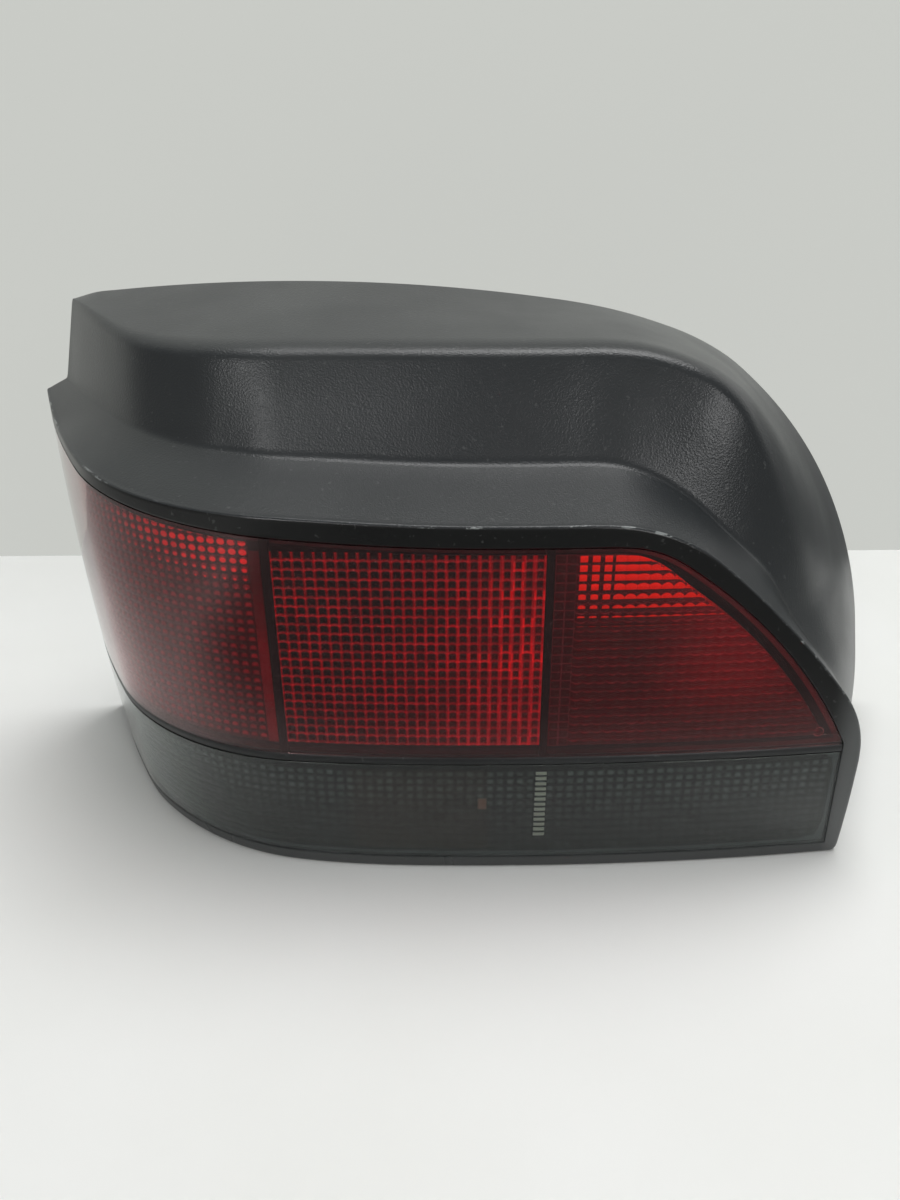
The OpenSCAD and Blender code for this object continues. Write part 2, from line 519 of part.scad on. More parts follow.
// Metallised reflectors: shallow dishes on a short neck, cut to their chambers
dish_f = 20;
dish_t = 1.4;
function dish_h(r) = 1.5 + r * r / (4 * dish_f);
module dish(r1) {
    r0 = bulb_hole_d / 2;
    steps = 14;
    rotate_extrude() polygon(concat([[r0, 0]],
        [for (i = [0 : steps]) let (r = mix(r0, r1, i / steps)) [r, dish_h(r) + dish_t]],
        [for (i = [steps : -1 : 0]) let (r = mix(r0 + dish_t, r1, i / steps)) [r, dish_h(r)]],
        [[r0 + dish_t, 0]]));
}
module reflector(p, r1, x0, x1, z0, z1) {
    color([0.78, 0.78, 0.76]) place() intersection() {
        at(p, panel_y) dish(r1);
        translate([x0, 10, z0]) cube([x1 - x0, panel_y - 10, z1 - z0]);
    }
}
left_face = bar_left_x - bar_left_t / 2 - 0.1;
right_face = bar_right_x + bar_right_t / 2 + 0.1;
low_z0 = lens_base + 1.2;
low_z1 = strip_z - 0.1;
top_z0 = strip_z + strip_h + 0.1;
top_z1 = lens_top - 1.7;
side_room = 60;
top_dish_r = 33;
low_dish_r = 39;
module tail_reflector() {
    reflector(tail_at, top_dish_r, tail_at[0] - side_room, left_face, top_z0, top_z1);
}
module fog_reflector() {
    reflector(fog_at, top_dish_r, right_face, fog_at[0] + side_room, top_z0, top_z1);
}
module turn_reflector() {
    reflector(turn_at, low_dish_r, mid_left + 0.1, mid_right - 0.1, low_z0, low_z1);
}
module reverse_reflector() {
    reflector(reverse_at, low_dish_r, right_face, reverse_at[0] + side_room, low_z0, low_z1);
}

// Amber filter plate that hangs from the strip in front of the turn bulb
filter_w = 54;
module amber_filter() {
    color([0.95, 0.45, 0.05]) place() {
        x = turn_at[0] - filter_w / 2 + 3;
        translate([x, 13, lens_base + 4]) cube([filter_w, 2, strip_z - lens_base - 4]);
        for (h = [x, x + filter_w - 2]) translate([h, 15, strip_z - 12]) cube([2, 6, 12]);
    }
}

// Bulb carrier: plate, four sockets and the connector's shroud in one moulding
conn_at = [-6, 66];
conn_w = 34;
conn_h = 18;
barrel_d = 22;
boss_d = 24;
boss_l = 6;
cap_back = car_b + 4;
module rounded(x0, x1, z0, z1, r, h) {
    hull_pts = [for (c = [[x1 - r, z1 - r, 0], [x0 + r, z1 - r, 90], [x0 + r, z0 + r, 180],
        [x1 - r, z0 + r, 270]], a = [0 : 15 : 90]) [c[0] + r * cos(c[2] + a), c[1] + r * sin(c[2] + a)]];
    linear_extrude(h) polygon(hull_pts);
}
module bulb_carrier() {
    color([0.16, 0.16, 0.17]) place() difference() {
        union() {
            translate([0, car_b, 0]) rotate([90, 0, 0]) rounded(car_x0, car_x1, car_z0, car_z1, 6, car_t);
            for (p = bulbs_at) {
                at(p, car_y + 0.5) cylinder(d = barrel_d, h = 14.5);
                at(p, car_b + boss_l) cylinder(d = boss_d, h = boss_l + 0.5);
            }
            translate([conn_at[0] - conn_w / 2, car_b - 0.5, conn_at[1] - conn_h / 2])
                cube([conn_w, 18.5, conn_h]);
        }
        for (p = bulbs_at) {
            at(p, cap_back) cylinder(d = cap_d + 0.3, h = 30);
            translate([p[0] - 9.6, car_y - 15, p[1] - 1.4]) cube([19.2, 10.5, 2.8]);
        }
        translate([conn_at[0] - conn_w / 2 + 1.8, car_b, conn_at[1] - conn_h / 2 + 1.8])
            cube([conn_w - 3.6, 20, conn_h - 3.6]);
    }
}

// Foam gasket between the carrier and the panel
module carrier_gasket() {
    color([0.22, 0.22, 0.22]) place() translate([0, car_y, 0]) rotate([90, 0, 0])
        linear_extrude(seal_t) difference() {
            translate([car_x0 + 0.4, car_z0 + 0.4])
                square([car_x1 - car_x0 - 0.8, car_z1 - car_z0 - 0.8]);
            difference() {
                translate([car_x0 + 4, car_z0 + 4])
                    square([car_x1 - car_x0 - 8, car_z1 - car_z0 - 8]);
                for (p = bulbs_at) translate(p) circle(d = bulb_hole_d + 7);
            }
            for (p = bulbs_at) translate(p) circle(d = bulb_hole_d + 1);
        }
}

// Pressed contact strips on the carrier's back, trimmed to the sockets and the shroud
strip_t = 0.8;
module bar(x0, x1, z0, z1) {
    translate([x0, car_b, z0]) cube([x1 - x0, strip_t, z1 - z0]);
}
module trimmed() {
    difference() {
        children();
        for (p = bulbs_at) at(p, car_b + 5) cylinder(d = boss_d, h = 10);
        translate([conn_at[0] - conn_w / 2, car_b - 5, conn_at[1] - conn_h / 2])
            cube([conn_w, 20, conn_h]);
    }
}
module earth_strip() {
    color([0.72, 0.6, 0.35]) place() trimmed() {
        bar(tail_at[0] - 1.5, conn_at[0], conn_at[1] - 1.5, conn_at[1] + 1.5);
        bar(tail_at[0] - 1.5, tail_at[0] + 1.5, conn_at[1], tail_at[1]);
        bar(turn_at[0] - 26, turn_at[0] - 23, turn_at[1] - 1.5, conn_at[1]);
        bar(turn_at[0] - 26, turn_at[0], turn_at[1] - 1.5, turn_at[1] + 1.5);
        bar(conn_at[0], reverse_at[0] + 1.5, conn_at[1] - 1.5, conn_at[1] + 1.5);
        bar(fog_at[0] - 1.5, fog_at[0] + 1.5, conn_at[1], fog_at[1]);
        bar(reverse_at[0] - 1.5, reverse_at[0] + 1.5, reverse_at[1], conn_at[1]);
    }
}
module supply_tracks() {
    color([0.72, 0.6, 0.35]) place() trimmed() {
        for (k = [0, 1]) {
            bar(tail_at[0], -14.5 + 5 * k, tail_at[1] - 3 + 5 * k, tail_at[1] + 5 * k);
            bar(-17.5 + 5 * k, -14.5 + 5 * k, conn_at[1], tail_at[1] + 5 * k);
        }
        bar(1.5, fog_at[0], fog_at[1] - 3, fog_at[1]);
        bar(1.5, 4.5, conn_at[1], fog_at[1]);
        bar(turn_at[0] - 1.5, turn_at[0] + 1.5, turn_at[1], conn_at[1]);
        bar(2, reverse_at[0], reverse_at[1] - 1.5, reverse_at[1] + 1.5);
        bar(2, 5, reverse_at[1] - 1.5, conn_at[1]);
    }
}
module connector_pins() {
    color([0.75, 0.74, 0.7]) place() for (i = [0 : 5])
        translate([conn_at[0] - 12 + 4.8 * i - 0.4, car_b, conn_at[1] - 1.4]) cube([0.8, 13, 2.8]);
}

// Bayonet bulbs: an open glass envelope on a metal cap with two side pins
cap_l = 16.5;
cap_y = cap_back - 1.5;
glass_l = bulb_len - cap_l - 1.5;
module envelope(p) {
    r = glass_d / 2;
    n = 6.8;
    c = glass_l - r;
    a0 = asin(n / r);
    w = 0.8;
    color([0.9, 0.92, 0.93]) place() at(p, cap_y - cap_l) rotate_extrude()
        polygon(concat([[n, 0]], [for (a = [180 - a0 : -12 : 0]) [r * sin(a), c + r * cos(a)]],
            [[0, c + r], [0, c + r - w]],
            [for (a = [8 : 12 : 180 - a0 - 4]) [(r - w) * sin(a), c + (r - w) * cos(a)]],
            [[n - w, c - (r - w) * cos(asin((n - w) / (r - w)))], [n - w, 0]]));
}
module cap(p) {
    color([0.7, 0.68, 0.6]) place() {
        at(p, cap_y) cylinder(d = cap_d, h = cap_l);
        at(p, cap_back) cylinder(d = 7, h = 1.6);
        translate([p[0] - 8.7, car_y - 7, p[1]]) rotate([0, 90, 0]) cylinder(d = 2, h = 17.4);
    }
}
module tail_bulb_glass() { envelope(tail_at); }
module fog_bulb_glass() { envelope(fog_at); }
module turn_bulb_glass() { envelope(turn_at); }
module reverse_bulb_glass() { envelope(reverse_at); }
module tail_bulb_cap() { cap(tail_at); }
module fog_bulb_cap() { cap(fog_at); }
module turn_bulb_cap() { cap(turn_at); }
module reverse_bulb_cap() { cap(reverse_at); }

// Studs moulded into the towers by their roots, and their rubber washers
washer_t = 1.5;
washer_gap = 0.2;
module mounting_studs() {
    color([0.7, 0.7, 0.68]) place() for (p = studs_at) {
        at(p, hood_y + stud_out) cylinder(d = stud_d, h = stud_out + 2);
        at(p, tower_y + washer_t) cylinder(d = root_d, h = stud_in + washer_t);
    }
}
module tower_seals() {
    color([0.1, 0.1, 0.1]) place() for (p = studs_at) at(p, tower_y + washer_t) difference() {
        cylinder(d = tower_d, h = washer_t);
        translate([0, 0, -1]) cylinder(d = root_d + 2 * washer_gap, h = washer_t + 2);
    }
}

// Vent cap on the panel
module breather_cap() {
    color([0.09, 0.09, 0.09]) place() at(vent_at, panel_b + 8) difference() {
        union() {
            cylinder(d = 13, h = 8);
            translate([0, 0, 3]) cylinder(d = 16, h = 2);
        }
        translate([0, 0, 2]) cylinder(d = 6, h = 7);
    }
}

housing();
red_lens();
smoked_lens();
lens_divider();
lens_seal();
back_panel();
partitions();
reflex_plate();
reflex_tray();
tail_reflector();
fog_reflector();
turn_reflector();
reverse_reflector();
amber_filter();
bulb_carrier();
carrier_gasket();
earth_strip();
supply_tracks();
connector_pins();
tail_bulb_glass();
tail_bulb_cap();
fog_bulb_glass();
fog_bulb_cap();
turn_bulb_glass();
turn_bulb_cap();
reverse_bulb_glass();
reverse_bulb_cap();
mounting_studs();
tower_seals();
breather_cap();
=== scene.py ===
import bpy, bmesh, math
from mathutils import Matrix, Vector


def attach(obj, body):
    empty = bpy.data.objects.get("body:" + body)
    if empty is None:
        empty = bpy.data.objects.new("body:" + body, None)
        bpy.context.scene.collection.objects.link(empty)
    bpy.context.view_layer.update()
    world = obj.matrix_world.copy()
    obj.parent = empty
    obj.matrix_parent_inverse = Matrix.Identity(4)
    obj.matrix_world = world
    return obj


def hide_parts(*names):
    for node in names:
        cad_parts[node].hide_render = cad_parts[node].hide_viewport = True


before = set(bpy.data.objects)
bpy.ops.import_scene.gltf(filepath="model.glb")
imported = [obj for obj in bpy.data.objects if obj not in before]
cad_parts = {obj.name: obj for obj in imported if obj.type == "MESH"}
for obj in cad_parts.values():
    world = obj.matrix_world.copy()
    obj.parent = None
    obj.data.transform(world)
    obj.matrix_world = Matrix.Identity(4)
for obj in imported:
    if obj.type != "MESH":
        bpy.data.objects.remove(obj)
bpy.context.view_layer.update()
print("frame loaded:", len(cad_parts), "nodes")


def addObject(name, data):
    item = bpy.data.objects.new(name, data)
    bpy.context.scene.collection.objects.link(item)
    return item


# Camera, at the photograph's angle
cameraSet = dict(at=(-0.0143246, -0.3564, 0.250), pitch=65.0, roll=-0.4, lens=27.0, sensor=36.0)
camData = bpy.data.cameras.new("photoCamera")
camData.lens, camData.sensor_width = cameraSet["lens"], cameraSet["sensor"]
camera = addObject("photoCamera", camData)
camera.matrix_world = (Matrix.Translation(cameraSet["at"])
                       @ Matrix.Rotation(math.radians(cameraSet["pitch"]), 4, "X")
                       @ Matrix.Rotation(math.radians(cameraSet["roll"]), 4, "Z"))
bpy.context.scene.camera = camera
bpy.context.scene.view_settings.view_transform = "Standard"


# Small helpers for shapes
def clip01(v):
    return min(1.0, max(0.0, v))
def ramp(a, b, v):
    return clip01((v - a) / (b - a))
def ease(a, b, v):
    t = ramp(a, b, v)
    return t * t * (3 - 2 * t)
def mix(p, q, t):
    return p + (q - p) * t
def sinD(a):
    return math.sin(math.radians(a))
def cosD(a):
    return math.cos(math.radians(a))
middle = (14.3246, 74, 0)  # the frame's zero, in the lamp's own millimetres
def onMiddle(p):
    return tuple((p[k] - middle[k]) / 1000 for k in range(3))


# The point and heading at the distance s along arcs (radius, end heading) that fall to the right
def turned(p, r, b):
    return (p[0] + r * (sinD(b) - sinD(p[2])), p[1] - r * (cosD(p[2]) - cosD(b)), b)
def walkArcs(p, arcs, s):
    for k, (r, b) in enumerate(arcs):
        n = r * math.radians(b - p[2])
        if s <= n or k == len(arcs) - 1:
            return turned(p, r, p[2] + math.degrees(min(s, n) / r))
        s -= n
        p = turned(p, r, b)
def arcsLength(p, arcs):
    total = 0
    for r, b in arcs:
        total += r * math.radians(b - p[2])
        p = turned(p, r, b)
    return total


# The lens skin, seen from above: three tangent arcs, tucked in toward the base
skin = dict(frontX=19.7, frontR=1180.0, frontTurn=3.9, cornerR=106.0, cornerTurn=58.5, sideR=530.0,
            tuckR=1470.0, tuckZ=150.0, lensTop=136.7, topRise=20.0, lensBase=5.2, lensX=151.2,
            stripZ=49.0, stripH=3.5, lensGap=0.4, seatD=3.4)
hoodForm = dict(y=126.0, z=211.4, wall=2.2, frameW=8.4, ledgeRise=12.0, ledgeD=32.6, creaseZ=196.6,
                creaseD=46.0, panelY=62.0, roofR=840, roofLeft=20.67, leftOut=3.2, leftIn=5.4)
def outward(a):
    return Vector((sinD(a), cosD(a)))
frontMid = Vector((skin["frontX"], skin["frontR"]))
cornerMid = frontMid - (skin["frontR"] - skin["cornerR"]) * outward(skin["frontTurn"])
sideMid = cornerMid - (skin["cornerR"] - skin["sideR"]) * outward(skin["cornerTurn"])
uFront = math.radians(skin["frontR"] * skin["frontTurn"])
uCorner = uFront + math.radians(skin["cornerR"] * (skin["cornerTurn"] - skin["frontTurn"]))
def plan(u, d):
    if u < uFront:
        return frontMid - (skin["frontR"] - d) * outward(math.degrees(u / skin["frontR"]))
    if u < uCorner:
        return cornerMid - (skin["cornerR"] - d) * outward(
            skin["frontTurn"] + math.degrees((u - uFront) / skin["cornerR"]))
    return sideMid - (skin["sideR"] - d) * outward(
        skin["cornerTurn"] + math.degrees((u - uCorner) / skin["sideR"]))
def tuck(u, z):
    return ease(40, 160, u) * max(0, skin["tuckZ"] - z) ** 2 / (2 * skin["tuckR"])
def onSkin(u, z, d):
    p = plan(u, d + tuck(u, z))
    return Vector((*p, z))
def uOfX(x):
    return skin["frontR"] * math.asin((skin["frontX"] - x) / skin["frontR"])
def onFront(x, z, d):
    return Vector((x, skin["frontR"] - math.sqrt(skin["frontR"] ** 2 - (x - skin["frontX"]) ** 2) + d, z))
def uBack(d):
    return uCorner + skin["sideR"] * (math.acos((sideMid[1] - hoodForm["y"]) / (skin["sideR"] - d))
                                      - math.radians(skin["cornerTurn"]))
uEnd = uBack(0)
uRight = uOfX(skin["lensX"] + 0.8)
def uPlane(z, d):
    return uBack(d + tuck(uEnd, z))
def sideU(u, e):
    return u if u < uCorner else mix(uCorner, e, (u - uCorner) / (uEnd - uCorner))
def lensU(u, z, o):
    return sideU(u, uPlane(z, 0) - 6.6 + o)

# Heights and depths of the frame, the ledge and the upper crease along the top
frameW, lensTop, lensBase = hoodForm["frameW"], skin["lensTop"], skin["lensBase"]
def topZ(u):
    return lensTop + skin["topRise"] * (1 - cosD(180 * ramp(0, 300, u))) / 2
def frameLow(u):
    return topZ(u) + frameW - 2.4 * ease(60, 150, u)
def frameZ(u):
    return frameLow(u) + 4.5 * ease(225, uEnd, u)
def ledgeZ(u):
    return frameLow(u) + hoodForm["ledgeRise"] - 3 * ease(100, 262, u)
def ledgeIn(u):
    return hoodForm["ledgeD"] - 2.2 * ease(40, 110, u) - 21 * ramp(110, 262, u)
def creaseH(u):
    return hoodForm["creaseZ"] + 8 * ease(150, 262, u)
def creaseIn(u):
    return hoodForm["creaseD"] - 17 * ease(50, 200, u) - 12 * ramp(150, 262, u)

# Falling edges at the right
lensStart, lensArcs = (58.5, lensTop, 0), [(40, 33), (205, 62.6)]
frameStart, frameArcs = (52, lensTop + frameW, 0), [(67, 40), (370, 52), (49, 90)]
roofR = hoodForm["roofR"]
backStart, backArcs = (-70, hoodForm["z"], 0), [(roofR, 8.4), (235, 23), (75, 36), (193, 61), (232, 82)]
creaseStart, creaseArcs = (60, hoodForm["creaseZ"], 0), [(75, 40), (150, 75), (300, 86)]
lensRun, frameRun = arcsLength(lensStart, lensArcs), arcsLength(frameStart, frameArcs)
backRun, creaseRun = arcsLength(backStart, backArcs), arcsLength(creaseStart, creaseArcs)
backEnd = walkArcs(backStart, backArcs, backRun)
hoodX = backEnd[0] + 2
backFrom = roofR * math.asin((frameStart[0] - backStart[0]) / roofR)
def lensFall(t):
    return walkArcs(lensStart, lensArcs, (1 - t) * lensRun)
def frameFall(t):
    return walkArcs(frameStart, frameArcs, (1 - t) * frameRun)
def backFall(t):
    return walkArcs(backStart, backArcs, mix(backRun, backFrom, t ** 1.3))
def creaseFall(t):
    return walkArcs(creaseStart, creaseArcs, (1 - t) * creaseRun)
lensCor, frameCor = lensFall(0), frameFall(0)
leftX = plan(uEnd - 1.2, 0)[0]

# Plan of the chambers' back: flat, a corner arc and a straight run to the side
chamber = dict(x=-98, bendR=40, turn=58, short=4)
panelY, bendR, turn = hoodForm["panelY"], chamber["bendR"], chamber["turn"]
def chamberBend(a):
    return Vector((chamber["x"] - bendR * sinD(a), panelY + bendR * (1 - cosD(a))))
flatRun, turnRun, turnAt = plan(uFront, 0)[0] - chamber["x"], math.radians(bendR * turn), chamberBend(turn)
backTotal = flatRun + turnRun + (hoodForm["y"] - chamber["short"] - turnAt[1]) / sinD(turn)
def chamberBack(u):
    if u < uFront:
        return Vector((plan(u, 0)[0], panelY))
    w = (u - uFront) * backTotal / (uEnd - uFront)
    if w < flatRun:
        return Vector((plan(uFront, 0)[0] - w, panelY))
    if w < flatRun + turnRun:
        return chamberBend(math.degrees((w - flatRun) / bendR))
    k = w - flatRun - turnRun
    return Vector((turnAt[0] - k * cosD(turn), turnAt[1] + k * sinD(turn)))
def onBack(u, z):
    return Vector((*chamberBack(u), z))
def backLeft(o, z):
    p = chamberBack(uEnd)
    return Vector((p[0] - o / math.tan(math.radians(turn)), p[1] + o, z))

# Stations round the frame: base, right edge, falling edge, top, left end
baseSteps, rightSteps, fallSteps, topSteps = 26, 4, 16, 24
rightEnd = baseSteps + rightSteps
fallEnd = rightEnd + fallSteps
topEnd = fallEnd + topSteps
leftAt = [0, 0.008, 0.018, 0.28, 0.52, 0.76, 1]
def uBase(i):
    if i <= 4:
        return mix(uEnd, uCorner, i / 4)
    if i <= 16:
        return mix(uCorner, uFront, (i - 4) / 12)
    return mix(uFront, uRight, (i - 16) / 10)
def uTop(j, x):
    if j <= 8:
        return mix(uOfX(x), uFront, j / 8)
    if j <= 20:
        return mix(uFront, uCorner, (j - 8) / 12)
    return mix(uCorner, uEnd, (j - 20) / 4)

# Each station as: is it on the wrapped skin, its u or x, and its z; all moved outward by o
def outline(start, foot, right, fall, top, o):
    spots = [(True, uBase(i), foot - o) for i in range(baseSteps)]
    for i in range(rightSteps):
        x, z = right(i / rightSteps)
        spots.append((False, x + o, z if i else foot - o))
    for i in range(fallSteps):
        x, z, a = fall(i / fallSteps)
        spots.append((False, x + o * sinD(a), z + o * cosD(a)))
    spots += [(True, u, top(u) + o) for u in [uTop(j, start) for j in range(topSteps + 1)]]
    return spots + [(True, uEnd, mix(top(uEnd) + o, foot - o, t)) for t in leftAt[1:-1]]
def frameX(t):
    return frameCor[0] - 1.8 * (1 - t) ** 2
def frameU(u, z, o, d):
    return sideU(u, uPlane(z, d) - o)
def lensRight(t):
    return mix(skin["lensX"], lensCor[0], t), mix(lensBase, lensCor[1], t)
def lensOutline(o):
    return outline(lensStart[0], lensBase, lensRight, lensFall, topZ, o)
def edgeRing(o, d):  # the lens's outline, moved outward by o and in by d
    return [onSkin(lensU(a, z, o), z, d) if wraps else onFront(a, z, d) for wraps, a, z in lensOutline(o)]
def backRing(o):  # the same outline at the back of the chambers
    return [(backLeft(o, z) if a > uEnd - 0.001 else onBack(a, z)) if wraps else Vector((a, panelY, z))
            for wraps, a, z in lensOutline(o)]
def frameRing(o, d):  # the frame's outer edge, moved inward by o and in by d
    return [onSkin(frameU(a, z, o, d), z, d) if wraps else onFront(a, z, d) for wraps, a, z in
            outline(frameStart[0], 0, lambda t: (frameX(t), frameCor[1] * t), frameFall, frameZ, -o)]

# The hood at each station: ledge crease, upper crease, back edge, and the same three inside
hoodY, wall, leftOut, leftIn = hoodForm["y"], hoodForm["wall"], hoodForm["leftOut"], hoodForm["leftIn"]
def hoodBase(i):
    e = onSkin(uPlane(0, 0), 0, 0)[0]
    a = onSkin(frameU(uBase(i), 0, 0, 0), 0, 0)
    g = (a[0] - e) / (frameX(0) - e)
    x, xi = mix(e + leftOut, hoodX, g), mix(e + leftIn, hoodX - wall, g)
    fb, fc, w = mix(0.65, 0.12, ramp(0, 3, i)), mix(0.85, 0.5, ramp(0, 3, i)), 0 if i else 0.7
    yb, yc = mix(a[1], hoodY, 0.22), mix(a[1], hoodY, 0.55)
    return [(mix(a[0], x, fb), yb - w, 0), (mix(a[0], x, fc), yc - w / 2, 0), (x, hoodY, 0),
            (xi, hoodY, wall), (mix(a[0], xi, fc) if i else xi + 0.3, yc - w, wall),
            (mix(a[0], xi, fb) if i else xi + 0.3, yb - 2 * w, wall)]
def hoodRight(i):
    t = i / rightSteps
    z, b = frameCor[1] * t, frameX(t) + 0.9
    x, y, zi = mix(hoodX, backEnd[0], t), backEnd[1] * t, 0 if i else wall
    xc, zc = mix(b, x, 0.4), mix(z, y, 0.4)
    return [(b, 28, z), (xc, 60, zc), (x, hoodY, y),
            (x - wall, hoodY, y + zi), (xc - wall, 61, zc + zi), (b - wall, 30, z + zi)]
def hoodFall(i):
    t = i / fallSteps
    a, q, c = frameFall(t), backFall(t), creaseFall(t)
    k = 0.9 + 5.6 * ease(0.34, 0.58, t) + (hoodForm["ledgeRise"] - 6.5) * ease(0.66, 0.97, t)
    b = (a[0] + k * sinD(a[2]), a[1] + k * cosD(a[2]))
    yb = 28 + (hoodForm["ledgeD"] - 28) * ease(0.6, 1, t)
    m = ease(0.35, 0.8, t)
    h = mix(a[2], c[2], m)
    r = [mix(mix(b[n], q[n], 0.4), c[n], m) for n in (0, 1)]
    yc = 60 - 22 * ease(0.1, 0.75, t) + (hoodForm["creaseD"] - 38) * ease(0.75, 1, t)
    def inward(p, y, far, turn):
        return (p[0] - far * sinD(turn), y, p[1] - far * cosD(turn))
    return [(b[0], yb, b[1]), (r[0], yc, r[1]), (q[0], hoodY, q[1]),
            inward(q, hoodY, wall, q[2]), inward(r, yc + 1.5, 2.4, h), inward(b, yb + 2, wall, a[2])]
def hoodTop(j):
    u, v, last = uTop(j, frameStart[0]), uTop(j, creaseStart[0]), j == topSteps
    x = mix(frameStart[0], leftX + hoodForm["roofLeft"], j / topSteps)
    z = hoodForm["z"] - roofR + math.sqrt(roofR ** 2 - (x - backStart[0]) ** 2) - (1.5 if last else 0)
    q = Vector((x, hoodY, z))
    zb, zc, db, dc = ledgeZ(u), creaseH(v), ledgeIn(u), creaseIn(v)
    eb, ec = uBack(ledgeIn(uEnd)), uBack(creaseIn(uEnd))
    return [onSkin(sideU(u, eb), zb, db), onSkin(sideU(v, ec), zc, dc), q,
            q + Vector((wall if last else 0, 0, -wall)), onSkin(sideU(v, ec - 4), zc - 2.7, dc + 2),
            onSkin(sideU(u, eb - 4), zb - 2.6, db + 1.6)]
topLeft = ((0.4, 0, -1.2), (1.2, 0, -1.2), (2.6, 0, -2.6), (4.8, 0, -4.4), (4.6, -0.8, -5), (3.8, -1.5, -5.6))
def hoodLeft(i):
    z = frameZ(uEnd) * (1 - leftAt[i])
    x, b = onSkin(uPlane(z, 0), z, 0)[0], Vector(hoodTop(topSteps)[0])
    if i == 1:
        return [b + Vector(s) for s in topLeft]
    steps = ((2, 0), (2.6, 0), (leftOut, 0), (leftIn, 0), (leftIn + 0.3, 0.7), (leftIn + 0.3, 1.4))
    return [(x + far, hoodY - y, z) for far, y in steps]
hoodStations = [[Vector(p) for p in form(i)] for form, steps in (
    (hoodBase, range(baseSteps)), (hoodRight, range(rightSteps)), (hoodFall, range(fallSteps)),
    (hoodTop, range(topSteps + 1)), (hoodLeft, range(1, len(leftAt) - 1))) for i in steps]
ringSize = len(hoodStations)

def softShare(k):  # how far a crease is rounded at a station
    if k < rightEnd:
        return 0.5
    if k < fallEnd:
        return mix(0.6, 0.13, ease(0.3, 0.85, (k - rightEnd) / fallSteps))
    return 0.13 if k <= topEnd else 0.4
def bend(b, c, d, f, t):
    p, q = mix(c, b, f), mix(c, d, f)
    return mix(mix(p, c, t), mix(c, q, t), t)
def bendRing(a, b, c, t, share=softShare):
    return [bend(a[k], b[k], c[k], share(k), t) for k in range(ringSize)]
def hoodRing(n):
    return [s[n] for s in hoodStations]
def between(a, b, t):
    return [mix(p, q, t) for p, q in zip(a, b)]
def toward(a, b, far):
    return [p + (q - p).normalized() * far for p, q in zip(a, b)]

# More points between the stations, on a smooth curve that stays straight at the corners
corners = (0, baseSteps, rightEnd, topEnd, topEnd + 1, topEnd + 2)
straightSpans = (*range(baseSteps, rightEnd), topEnd, topEnd + 1)
fineSteps = 4
def refined(ring, steps=fineSteps):
    n, out = len(ring), []
    def slope(k):  # through a point's neighbours, by the length of each side
        a, b, c = ring[k - 1], ring[k], ring[(k + 1) % n]
        la, lc = max((b - a).length, 1e-6), max((c - b).length, 1e-6)
        return ((b - a) / la * lc + (c - b) / lc * la) / (la + lc)
    for k in range(n):
        a, b = ring[k], ring[(k + 1) % n]
        far = (b - a).length
        if k in straightSpans or far < 0.01:
            out += [mix(a, b, s / steps) for s in range(steps)]
            continue
        ma = None if k in corners else slope(k) * far
        mb = None if (k + 1) % n in corners else slope((k + 1) % n) * far
        if ma is None:
            ma = b - a if mb is None else 1.5 * (b - a) - 0.5 * mb
        if mb is None:
            mb = 1.5 * (b - a) - 0.5 * ma
        for s in range(steps):
            t = s / steps
            out.append(a * (2 * t ** 3 - 3 * t * t + 1) + ma * (t ** 3 - 2 * t * t + t)
                       + b * (3 * t * t - 2 * t ** 3) + mb * (t ** 3 - t * t))
    return out


# Small helpers for finishes
def tone(r, g, b):  # a colour as the eye reads it, 0 to 255
    def lin(c):
        c /= 255
        return c / 12.92 if c <= 0.04045 else ((c + 0.055) / 1.055) ** 2.4
    return (lin(r), lin(g), lin(b), 1.0)

